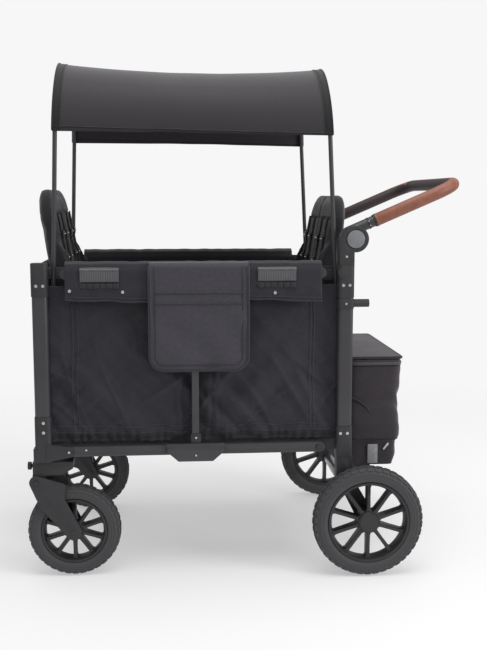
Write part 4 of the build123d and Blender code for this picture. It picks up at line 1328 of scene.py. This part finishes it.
@dataclass
class TubSide:
    """One long side of the fabric tub: pocket panel, rolled top band, webbing pads and snaps."""

    side_name: str
    side: int
    bottom: float = 289.0
    panel_top: float = 665.0
    band_low: float = 633.0
    top: float = 719.0
    reach: float = 324.0

    def panel_out(self, x: float, z: float) -> float:
        """How far the panel stands from the middle plane."""
        out = 246.5
        height = (z - self.bottom) / (self.panel_top - self.bottom)
        bag = max(0.0, math.sin(math.pi * min(1.0, max(0.0, height)) ** 0.9))
        for centre, half in ((-150, 132), (150, 128)):
            out += 7.0 * bag * hump(x, centre, half) ** 0.6
        out += 4.5 * ripple(x, 0, z, 85, 1.0 + self.side) * bag
        low = 1 - ease(z, 340, 560)
        for slant, size, depth in ((0.9, 46, 8.0), (-0.8, 58, 6.5)):
            fold = ripple(x + slant * z, 0, z * 0.2, size, 5.0 + self.side + slant)
            out += depth * fold * bag * (0.4 + 0.8 * low)
        out += 1.2 * ripple(x, 0, z, 22, 14.0 + self.side) * bag
        for slant, size, seed in ((1.0, 95, 31.0), (-1.1, 110, 37.0), (0.4, 80, 43.0)):
            crease = 1 - min(1.0, abs(ripple(x + slant * z, 0, z * 0.3, size, seed + self.side)) * 3.2)
            out += 5.5 * crease * crease * bag * (0.35 + 0.75 * low)
        for pleat in (-34, 30, 47):
            out += 4.0 * hump(x, pleat, 9) * ease(z, 325, 350)
        gather = 1 - ease(z, 322, 352)
        tuck = math.sin(x / 3.4 + 2 * ripple(x, 0, 0, 50, 3.0))
        out += gather * (3.2 * tuck * (0.5 + 0.5 * ripple(x, 0, 0, 60, 8.0)))
        out += 3.4 * hump(z, 336, 15) * (0.6 + 0.4 * math.sin(x / 9.0))
        out -= 3.0 * hump(z, 319, 9)
        out = min(out, 266.0)
        if z < 311:
            out = min(out, 243.6)
        near_bar = hump(x, 1, 24)
        return out * (1 - near_bar) + min(out, 249.5) * near_bar

    def panel(self) -> None:
        """Lower pocket panel with its seams and gathered foot."""
        shape = Shape(f"tub_side_{self.side_name}")
        width = 2 * self.reach
        tall = self.panel_top - self.bottom

        def place(u: float, v: float) -> Point:
            """A point on the side panel, u along it and v up it."""
            x = (u - 0.5) * width
            z = self.bottom + v * tall
            return (x, self.side * self.panel_out(x, z), z)

        shape.sheet(220, 110, (width, tall), place, CANVAS)
        for seam_x in (-273, -262, 262, 270):
            points = [
                (seam_x + 1.5 * math.sin(z / 40), self.side * (self.panel_out(seam_x, z) + 1.0), z)
                for z in range(330, 634, 8)
            ]
            shape.strand(points, 0.9, CANVAS_SEAM)
        for low_x, high_x in ((-316, -20), (22, 316)):
            for level in (332, 346):
                points = [
                    (x, self.side * (self.panel_out(x, level) + 1.0), level + 1.6 * math.sin(x / 17))
                    for x in range(low_x, high_x, 6)
                ]
                shape.strand(points, 0.9, CANVAS_SEAM)
        piece = shape.done(
            "rear_frame", [f"side_panel_{self.side_name}"], thickness=1.4, sharp=60
        )
        crumple(piece)

    def band_place(self, u: float, v: float) -> Point:
        """A point on the band that goes over the top rail; v runs from the outer hem up and over."""
        x = -284 + 568 * u
        flap = 1 - ease(abs(x - 5), 80, 130)
        outer = 273.6 + 1.6 * flap + 0.6 * ripple(x, 0, 0, 50, 4.0)
        wave = 2.5 * math.sin(x / 55.0) + 1.5 * ripple(x, 0, 0, 40, 6.0)
        path = [
            (outer - 1.0, self.band_low + wave),
            (outer + 0.8, 650 + wave * 0.5),
            (outer, 672),
            (outer, 700),
            (outer - 5, 714),
            (257.5, self.top),
            (243.5, 713),
            (239.5, 700),
            (238.5, 668),
        ]
        share = v * (len(path) - 1)
        index = min(len(path) - 2, int(share))
        part = share - index
        out = path[index][0] * (1 - part) + path[index + 1][0] * part
        z = path[index][1] * (1 - part) + path[index + 1][1] * part
        pucker = 1.3 * ripple(x, out, z, 24, 9.0 + self.side)
        z += 0.8 * ripple(x, 0, 0, 30, 11.0) * ease(z, 700, 716)
        return (x, self.side * (out + pucker * hump(z, 655, 30)), z)

    def band(self) -> None:
        """Upper band over the top rail with its double hem."""
        shape = Shape(f"tub_band_{self.side_name}")
        shape.sheet(150, 48, (568, 170), self.band_place, CANVAS)
        for v, radius in ((0.0, 1.3), (0.05, 0.7)):
            points = [self.band_place(i / 100, v) for i in range(101)]
            points = [(x, y + self.side * 0.9, z) for x, y, z in points]
            shape.strand(points, radius, CANVAS_SEAM)
        piece = shape.done("rear_frame", thickness=1.4, sharp=60)
        crumple(piece)

    def pads(self) -> None:
        """Ribbed webbing wrapped over the rail, each with a hook row beneath."""
        shape = Shape(f"rail_pads_{self.side_name}")
        for low_x, high_x in ((-251.5, -166.5), (139.5, 225.5)):
            width = high_x - low_x

            def place(u: float, v: float, start: float = low_x, wide: float = width) -> Point:
                """A point on the pad, u along the rail and v up it."""
                x = start + wide * u
                bow = 1.4 * math.sin(math.pi * v) + 0.5 * ripple(x, 0, v * 30, 14, 21.0)
                top = max(0.0, v - 0.86) / 0.14
                return (x, self.side * (275.6 + bow - 5.0 * top**2), 675.5 + 31.5 * v)

            shape.sheet(24, 16, (90, width), place, WEBBING)
            ridge = [
                (low_x + width * i / 24, self.side * 276.8, 702.5 + 0.4 * math.sin(i))
                for i in range(25)
            ]
            shape.strand(ridge, 1.3, WEBBING_EDGE)
            for index in range(6):
                x = low_x + width * (index + 0.5) / 6
                shape.block(
                    (x - 6.0, x + 6.0),
                    (self.side * 274.5, self.side * 278.0),
                    (662, 671),
                    CANVAS_SEAM,
                    round_by=1.2,
                )
        piece = shape.done("rear_frame", thickness=1.2, sharp=50)
        crumple(piece)

    def snaps(self) -> None:
        """Bright press studs below the band."""
        shape = Shape(f"press_studs_{self.side_name}")
        for x, z in ((-274, 656), (-158.5, 653), (178.5, 649)):
            y = self.side * 275.5
            shape.bar((x, y - self.side * 1.5, z), (x, y + self.side * 1.8, z), 3.6, STEEL, 16, 0.8)
        piece = shape.done("rear_frame", sharp=40)
        crumple(piece)

    def build(self) -> None:
        """Make the whole side."""
        self.panel()
        self.band()
        self.pads()
        self.snaps()


@dataclass
class Flap:
    """Hanging flap with a pocket, piping and stitch lines."""

    side_name: str
    side: int
    centre_x: float = 9.0
    half: float = 110.0
    top: float = 718.0
    bottom: float = 477.0
    corner: float = 33.0
    out: float = 281.5

    def edge(self, inset: float, steps: int = 10) -> list[tuple[float, float]]:
        """The flap's side and lower edge as (x, z), drawn in by an inset."""
        half = self.half - inset
        low = self.bottom + inset
        radius = max(4.0, self.corner - inset)
        points = [(-half, self.top - 8), (-half, self.top - 90), (-half, low + radius + 40)]
        for i in range(steps + 1):
            angle = math.pi / 2 * i / steps
            points.append((-half + radius * (1 - math.cos(angle)), low + radius * (1 - math.sin(angle))))
        right = [(-x, z) for x, z in reversed(points)]
        return points + [(-half * 0.4, low), (half * 0.4, low)] + right

    def stand(self, x: float, z: float) -> float:
        """How far the flap stands from the middle plane."""
        hang = (self.top - z) / (self.top - self.bottom)
        wave = 3.4 * ripple(x + 0.5 * z, 0, z * 0.6, 60, 12.0 + self.side) * ease(hang, 0.1, 0.7)
        return self.out + 1.6 * hang + wave

    def build(self) -> None:
        """Cut, bind and stitch the flap."""
        shape = Shape(f"side_flap_{self.side_name}")

        def place(u: float, v: float) -> Point:
            """A point on the flap, u across it and v up it."""
            z = self.bottom + (self.top - self.bottom) * v
            half = self.half
            rise = z - self.bottom
            if rise < self.corner:
                reach = self.corner - rise
                half = self.half - self.corner + math.sqrt(max(0.0, self.corner**2 - reach**2))
            x = (u - 0.5) * 2 * half
            out = self.stand(x, z)
            if z > self.top - 12:
                out -= 12 * ease(z, self.top - 12, self.top) ** 2
            return (self.centre_x + x, self.side * out, z)

        shape.sheet(48, 60, (2 * self.half, self.top - self.bottom), place, FLAP_CLOTH)
        piping = [(self.centre_x + x, self.side * (self.stand(x, z) + 0.6), z) for x, z in self.edge(1.0)]
        shape.strand(piping, 2.3, CANVAS_SEAM)
        stitch = [(self.centre_x + x, self.side * (self.stand(x, z) + 1.1), z) for x, z in self.edge(13.0)]
        shape.strand(stitch, 0.8, CANVAS_SEAM)
        for level, radius in ((650, 1.1), (626, 0.9)):
            points = [
                (self.centre_x + x, self.side * (self.stand(x, level) + 1.2), level)
                for x in range(int(-self.half + 14), int(self.half - 13), 8)
            ]
            shape.strand(points, radius, CANVAS_SEAM)
        piece = shape.done(
            f"flap_{self.side_name}", [f"flap_{self.side_name}"], thickness=1.8, sharp=60
        )


@dataclass
class TubEnds:
    """The end walls between the posts, with a rounded top hem and an outer pocket."""

    top: float = 706.0
    bottom: float = 318.0
    half: float = 233.0

    def build(self) -> None:
        """Make both end walls."""
        for name, end in ENDS.items():
            body = f"{name}_frame"
            node = f"{name}_panel"
            low, high = Yard.limits(node)
            base = end * max(abs(low[0]), abs(high[0])) - end * 3.5
            self.wall(name, end, body, node, base)

    def wall(self, name: str, end: int, body: str, node: str, base: float) -> None:
        """One end wall.

        Args:
            name: front or rear.
            end: its sign along the wagon.
            body: the body it rides on.
            node: the CAD node it replaces.
            base: where the flat wall stands along the wagon.
        """
        shape = Shape(f"tub_end_{name}")
        bulge = 9.0 if end == FRONT else 0.0

        def out(y: float, z: float) -> float:
            """How far the end panel bellies and creases at (y, z)."""
            height = (z - self.bottom) / (self.top - self.bottom)
            belly = bulge * hump(y, 0, 232) ** 0.35 * math.sin(math.pi * min(1, max(0, height))) ** 0.6
            crease = 1.4 * ripple(0, y, z, 60, 20.0 + end) * math.sin(math.pi * min(1, max(0, height)))
            return base + end * (belly + crease)

        def place(u: float, v: float) -> Point:
            """A point on the end panel, u across the wagon and v up it."""
            z = self.bottom + (self.top - self.bottom) * v
            half = self.half if z < 636 else self.half - 18 * ease(z, 636, 650)
            y = (u - 0.5) * 2 * half
            return (out(y, z), y, z)

        shape.sheet(90, 80, (2 * self.half, self.top - self.bottom), place, CANVAS)
        rim = [(out(y, self.top), y, self.top) for y in range(-214, 215, 12)]
        shape.strand(rim, 4.0, CANVAS_SEAM)
        for level in (640, 648, 340):
            seam = [(out(y, level) + end * 1.0, y, level) for y in range(-212, 213, 10)]
            shape.strand(seam, 0.9, CANVAS_SEAM)
        for seam_y in (-150, 150):
            seam = [(out(seam_y, z) + end * 1.0, seam_y, z) for z in range(342, 640, 10)]
            shape.strand(seam, 0.9, CANVAS_SEAM)
        piece = shape.done(body, [node], thickness=1.6, sharp=60)


@dataclass
class TubFloor:
    """Benches and footwell: one sewn sheet with a padded cushion on each bench."""

    half: float = 229.0

    def build(self) -> None:
        """Line the tub and pad its benches."""
        shape = Shape("footwell_lining")
        low, high = Yard.limits("tub_base")
        edge = high[0] - 205.0
        path = [
            (low[0] + 4, 428.0),
            (-edge - 4, 428.0),
            (-edge + 6, 420.0),
            (-edge + 8, 330.0),
            (-edge + 16, 318.0),
            (edge - 16, 318.0),
            (edge - 8, 330.0),
            (edge - 6, 420.0),
            (edge + 4, 428.0),
            (high[0] - 4, 428.0),
        ]
        lengths = [0.0]
        for start, end in zip(path, path[1:]):
            lengths.append(lengths[-1] + math.dist(start, end))
        total = lengths[-1]

        def place(u: float, v: float) -> Point:
            """A point on the lining, u along its path and v across the wagon."""
            run = u * total
            index = max(i for i in range(len(path) - 1) if lengths[i] <= run + 1e-6)
            part = (run - lengths[index]) / (lengths[index + 1] - lengths[index])
            x = path[index][0] * (1 - part) + path[index + 1][0] * part
            z = path[index][1] * (1 - part) + path[index + 1][1] * part
            y = (v - 0.5) * 2 * self.half
            z += 1.2 * ripple(x, y, z, 60, 30.0)
            return (x, y, z)

        shape.sheet(120, 40, (total, 2 * self.half), place, CANVAS)
        piece = shape.done("rear_frame", ["tub_base"], thickness=2.0, sharp=60)
        crumple(piece)
        for name, end in ENDS.items():
            self.cushion(name, end, edge)

    def cushion(self, name: str, end: int, edge: float) -> None:
        """One bench cushion with a sewn middle channel."""
        shape = Shape(f"bench_cushion_{name}")
        x = (end * (edge + 4), end * (edge + 178))
        shape.block((min(x), max(x)), (-212, 212), (431, 443), CANVAS_PAD, round_by=5, segments=3)
        piece = inflate(shape, 5.0, 4.0, 6.0)
        channel(piece, lambda p: abs(abs(p.y / MM) - 0) < 3.5, 1.5)
        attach(piece, "rear_frame")
        crumple(piece)


def inflate(shape: Shape, voxel: float, pressure: float, cap: float) -> bpy.types.Object:
    """Swell a closed shape as stuffed cloth and return it as an object.

    Args:
        shape: the closed starting shape.
        voxel: remesh size in millimetres.
        pressure: the cloth's inner pressure.
        cap: the most that a point may move, in millimetres.

    Returns:
        The swollen piece, with its simulation applied.
    """
    mesh = bpy.data.meshes.new(shape.name)
    shape.work.to_mesh(mesh)
    shape.work.free()
    for finish in shape.finishes:
        mesh.materials.append(finish.make())
    piece = bpy.data.objects.new(shape.name, mesh)
    scene = bpy.context.scene
    scene.collection.objects.link(piece)
    remesh = piece.modifiers.new("remesh", "REMESH")
    remesh.mode = "VOXEL"
    remesh.voxel_size = voxel * MM
    bake_modifiers(piece)
    rest = [vert.co.copy() for vert in piece.data.vertices]
    cloth = piece.modifiers.new("swell", "CLOTH")
    cloth.settings.use_pressure = True
    cloth.settings.uniform_pressure_force = pressure
    cloth.settings.effector_weights.gravity = 0.0
    cloth.settings.quality = 4
    scene.frame_start, scene.frame_end = 1, 20
    for moment in range(1, 21):
        scene.frame_set(moment)
    bake_modifiers(piece)
    for vert, start in zip(piece.data.vertices, rest):
        move = vert.co - start
        if move.length > cap * MM:
            vert.co = start + move.normalized() * cap * MM
    scene.frame_set(1)
    smooth = piece.modifiers.new("smooth", "SUBSURF")
    smooth.levels = 1
    smooth.render_levels = 1
    bake_modifiers(piece)
    for face in piece.data.polygons:
        face.use_smooth = True
    return piece


def channel(piece: bpy.types.Object, chosen: Callable[[Vector], bool], depth: float) -> None:
    """Press chosen points of a pad inwards along their normals, as a line of stitching does."""
    for vert in piece.data.vertices:
        if chosen(vert.co):
            vert.co -= vert.normal * depth * MM


@dataclass
class SeatBack:
    """Padded seat back with wings, harness straps and buckles."""

    name: str
    end: int
    length: float
    lean: float = 9.3
    half_wide: float = 186.0

    def turn(self) -> Matrix:
        """The lean of the seat about its foot."""
        foot = Yard.at(*self.foot())
        return Matrix.Translation(foot) @ Matrix.Rotation(math.radians(self.end * self.lean), 4, "Y")

    def foot(self) -> Point:
        """Where the seat back meets the bench."""
        x = Yard.post_x - 60.5 if self.end == REAR else -Yard.post_x + 70.5
        return (x, 0.0, 450.0)

    def local(self, inward: float, y: float, up: float) -> Point:
        """A point by its distance inward from the slab's middle, across, and up the seat."""
        place = self.turn() @ Vector((-self.end * inward * MM, y * MM, up * MM))
        return ((place.x - Yard.middle_x) / MM, place.y / MM, place.z / MM)

    def build(self) -> None:
        """Pad the back and hang its harness."""
        self.pad()
        self.harness()

    def pad(self) -> None:
        """The stuffed back with its two side wings and a centre seam."""
        shape = Shape(f"seat_pad_{self.name}")
        before = set(shape.work.verts)
        origin = Yard.at(0, 0, 0)
        half, top, bend = self.half_wide - 4, self.length - 6, 80
        arc = []
        for i in range(11):
            step_angle = math.pi * i / 20
            arc.append((half - bend + bend * math.sin(step_angle), top - bend + bend * math.cos(step_angle)))
        outline = [(-half, 4), (half, 4), *reversed(arc), *[(-y, z) for y, z in arc]]
        shape.panel(outline, (-12, 12), CANVAS_PAD, 8.0)
        for side in SIDES.values():
            y = sorted((side * (self.half_wide - 24), side * (self.half_wide - 2)))
            outline = [(4, 120), (-50, 188), (-22, 292), (4, self.length - 92)]
            shape.slab([(x * self.end, z) for x, z in outline], (y[0], y[1]), CANVAS_PAD, 6.0)
        made = [vert for vert in shape.work.verts if vert not in before]
        bmesh.ops.translate(shape.work, verts=made, vec=-origin)
        bmesh.ops.transform(shape.work, matrix=self.turn(), verts=made)
        piece = inflate(shape, 5.5, 5.0, 7.0)
        inverse = self.turn().inverted()

        def sewn(point: Vector) -> bool:
            """Whether a point lies on one of the sewn lines."""
            local = inverse @ point
            up, across = local.z / MM, abs(local.y / MM)
            lines = (abs(up - 250) < 3.2, abs(up - self.length + 70) < 3.2, across < 3.2)
            return any(lines) and across < self.half_wide - 30

        channel(piece, sewn, 2.6)
        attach(piece, f"seat_{self.name}")
        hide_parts(f"seat_back_{self.name}")

    def harness(self) -> None:
        """Shoulder straps with pads and bright adjusters, two places side by side."""
        shape = Shape(f"seat_harness_{self.name}")
        for place_y in (-95, 95):
            for offset in (-38, 38):
                y = place_y + offset
                top, low = self.length - 70, 40
                rail = []
                for i in range(13):
                    stand = 21 + 2 * math.sin(i / 3)
                    strap_y = y * (1 - 0.25 * (i / 12) ** 2 * 0.3)
                    rail.append(self.local(stand, strap_y, top + (low - top) * i / 12))
                for a, b in zip(rail, rail[1:]):
                    middle = [(p + q) / 2 for p, q in zip(a, b)]
                    angle = math.atan2(b[0] - a[0], b[2] - a[2])
                    long = math.dist(a, b) / 2 + 1.2
                    shape.block(
                        (middle[0] - 1.1, middle[0] + 1.1),
                        (middle[1] - 11, middle[1] + 11),
                        (middle[2] - long, middle[2] + long),
                        STRAP,
                        round_by=0.6,
                        segments=1,
                        turn=Matrix.Rotation(angle, 4, "Y"),
                    )
                for up in (self.length - 120, self.length - 175):
                    p = self.local(25, y, up)
                    shape.block(
                        (p[0] - 2, p[0] + 2), (p[1] - 14, p[1] + 14), (p[2] - 8, p[2] + 8), MOULDED, 1.5
                    )
                    q = self.local(28, y, up)
                    shape.bar((q[0], q[1] - 9, q[2]), (q[0], q[1] + 9, q[2]), 1.5, STEEL, 10, 0.4)
        shape.done(f"seat_{self.name}", sharp=45)


# ---------------------------------------------------------------- rear bag


@dataclass
class RearBag:
    """Soft bag with a piped lid, side pocket and a lower compartment."""

    front: float = 358.5
    deep: float = 134.0
    half: float = 193.0
    top: float = 480.0
    split: float = 288.0
    bottom: float = 226.0

    def ring(self, z: float, count: int = 96) -> list[Point]:
        """The bag's outline at one height."""
        waist = 5.0 * hump(z, 380, 70) - 3.0 * hump(z, 306, 45) - 2.0 * hump(z, 462, 30)
        inset = 8.0 * (1 - ease(z, self.split - 8, self.split + 6))
        foot = 7.0 * (1 - ease(z, self.bottom, self.bottom + 26))
        points = []
        for index in range(count):
            angle = 2 * math.pi * (index + 0.5) / count
            c, s = math.cos(angle), math.sin(angle)
            power = 0.22
            x = math.copysign(abs(c) ** power, c) * (self.deep / 2 - 0.5)
            y = math.copysign(abs(s) ** power, s) * self.half
            pull = waist + inset + foot + 1.8 * ripple(x, y, z, 45, 40.0)
            fold = 2.2 * ripple(x * 0.5, y * 0.5, z + y, 22, 44.0) * (0.3 + hump(z, 380, 100))
            if x > 0:
                x -= (pull + fold) * abs(c) ** 0.4
            y -= math.copysign((pull * 0.6 + fold) * abs(s) ** 0.4, y)
            points.append((self.front + self.deep / 2 + x, y, z))
        return points

    def build(self) -> None:
        """Make the body, pockets, lid and tags."""
        self.body()
        self.lid()
        self.trimmings()

    def body(self) -> None:
        """Lofted shell from the foot to the zip."""
        shape = Shape("bag_body")
        layer = shape.work.loops.layers.uv.verify()
        levels = [self.bottom + (self.top - self.bottom) * i / 44 for i in range(45)]
        rings = []
        for z in levels:
            verts = [shape.work.verts.new(Yard.at(*point)) for point in self.ring(z)]
            edges = [shape.work.edges.new((verts[i], verts[(i + 1) % len(verts)])) for i in range(len(verts))]
            rings.append(edges)
        for lower, upper in zip(rings, rings[1:]):
            bmesh.ops.bridge_loops(shape.work, edges=lower + upper)
        bmesh.ops.contextual_create(shape.work, geom=rings[0])
        bmesh.ops.recalc_face_normals(shape.work, faces=shape.work.faces)
        for face in shape.work.faces:
            for loop in face.loops:
                co = loop.vert.co
                loop[layer].uv = (co.x + co.y, co.z)
        shape.paint(shape.work.faces, BAG_CLOTH)
        for z, radius, finish in ((self.split, 1.4, ROOF_HEM), (466, 1.6, ROOF_HEM), (471, 3.4, BAG_TAPE)):
            shape.strand([(x, y, level) for x, y, level in self.ring(z, 64)], radius, finish, closed=True)
        shape.done("rear_frame", ["rear_bag"], thickness=2.0, sharp=60)

    def lid(self) -> None:
        """Slightly domed lid with piping and the zip tape below it."""
        shape = Shape("bag_lid_cloth")
        low, high = self.top + 3, self.top + 9

        def place(u: float, v: float) -> Point:
            """A point on the lid, u along the wagon and v across it."""
            x = self.front + 1 + (self.deep - 2) * u
            y = (v - 0.5) * 2 * (self.half - 1)
            crown = 2.5 * math.sin(math.pi * u) ** 0.5 * math.sin(math.pi * v) ** 0.5
            dip = 1.2 * ripple(x, y, 0, 60, 50.0) * math.sin(math.pi * u) * math.sin(math.pi * v)
            return (x, y, high - 3 + crown + dip)

        shape.sheet(30, 80, (self.deep, 2 * self.half), place, BAG_CLOTH)
        corners = [
            (self.front + 2, -self.half + 2),
            (self.front + self.deep - 2, -self.half + 2),
            (self.front + self.deep - 2, self.half - 2),
            (self.front + 2, self.half - 2),
        ]
        outline: list[Point] = []
        for start, end in zip(corners, corners[1:] + corners[:1]):
            for i in range(12):
                share = i / 12
                edge_x = start[0] + (end[0] - start[0]) * share
                edge_y = start[1] + (end[1] - start[1]) * share
                outline.append((edge_x, edge_y, low + 2))
        shape.strand(outline, 2.4, CANVAS_SEAM, closed=True)
        shape.done("bag_lid", ["bag_lid"], thickness=2.0, sharp=60)

    def trimmings(self) -> None:
        """Side pocket folds, light tag and tape tag."""
        shape = Shape("bag_trimmings")
        for side in SIDES.values():
            pocket = [
                (self.front + 6, side * (self.half - 4), 392),
                (self.front + 30, side * (self.half + 1), 384),
                (self.front + 56, side * (self.half - 2), 360),
                (self.front + 66, side * (self.half - 5), 330),
                (self.front + 70, side * (self.half - 6), 296),
            ]
            shape.strand(pocket, 1.8, CANVAS_SEAM)
            tag_faces = (side * (self.half - 1), side * (self.half + 1.5))
            shape.block((411, 435), tag_faces, (231, 277), TAG, round_by=1.0)
            turn = Matrix.Rotation(math.radians(38), 4, "Y")
            shape.block((453, 457), tag_faces, (262, 281), THREAD_WHITE, 0.8, 2, turn)
        shape.done("rear_frame", sharp=45)


# ---------------------------------------------------------------- assembly


def main() -> None:
    """Build every part of the wagon in order."""
    logging.basicConfig(level=logging.INFO, format="%(message)s")
    Studio().build()
    HardParts().build()
    Fasteners().build()
    for name, side in SIDES.items():
        Wheel(
            f"rear_wheel_{name}",
            f"wheel_rear_{name}",
            f"tyre_rear_{name}",
            f"rim_rear_{name}",
            side,
            93.0,
            25.0,
            21.0,
            42,
        ).build()
        Wheel(
            f"front_wheel_{name}",
            f"wheel_front_{name}",
            f"tyre_front_{name}",
            f"rim_front_{name}",
            side,
            74.0,
            20.0,
            14.0,
            36,
        ).build()
    PushBar().build()
    Roof().build()
    for name, side in SIDES.items():
        TubSide(name, side).build()
        Flap(name, side).build()
    TubEnds().build()
    TubFloor().build()
    SeatBack("front", FRONT, 446.0).build()
    SeatBack("rear", REAR, 432.0).build()
    RearBag().build()


if __name__ == "__main__":
    main()
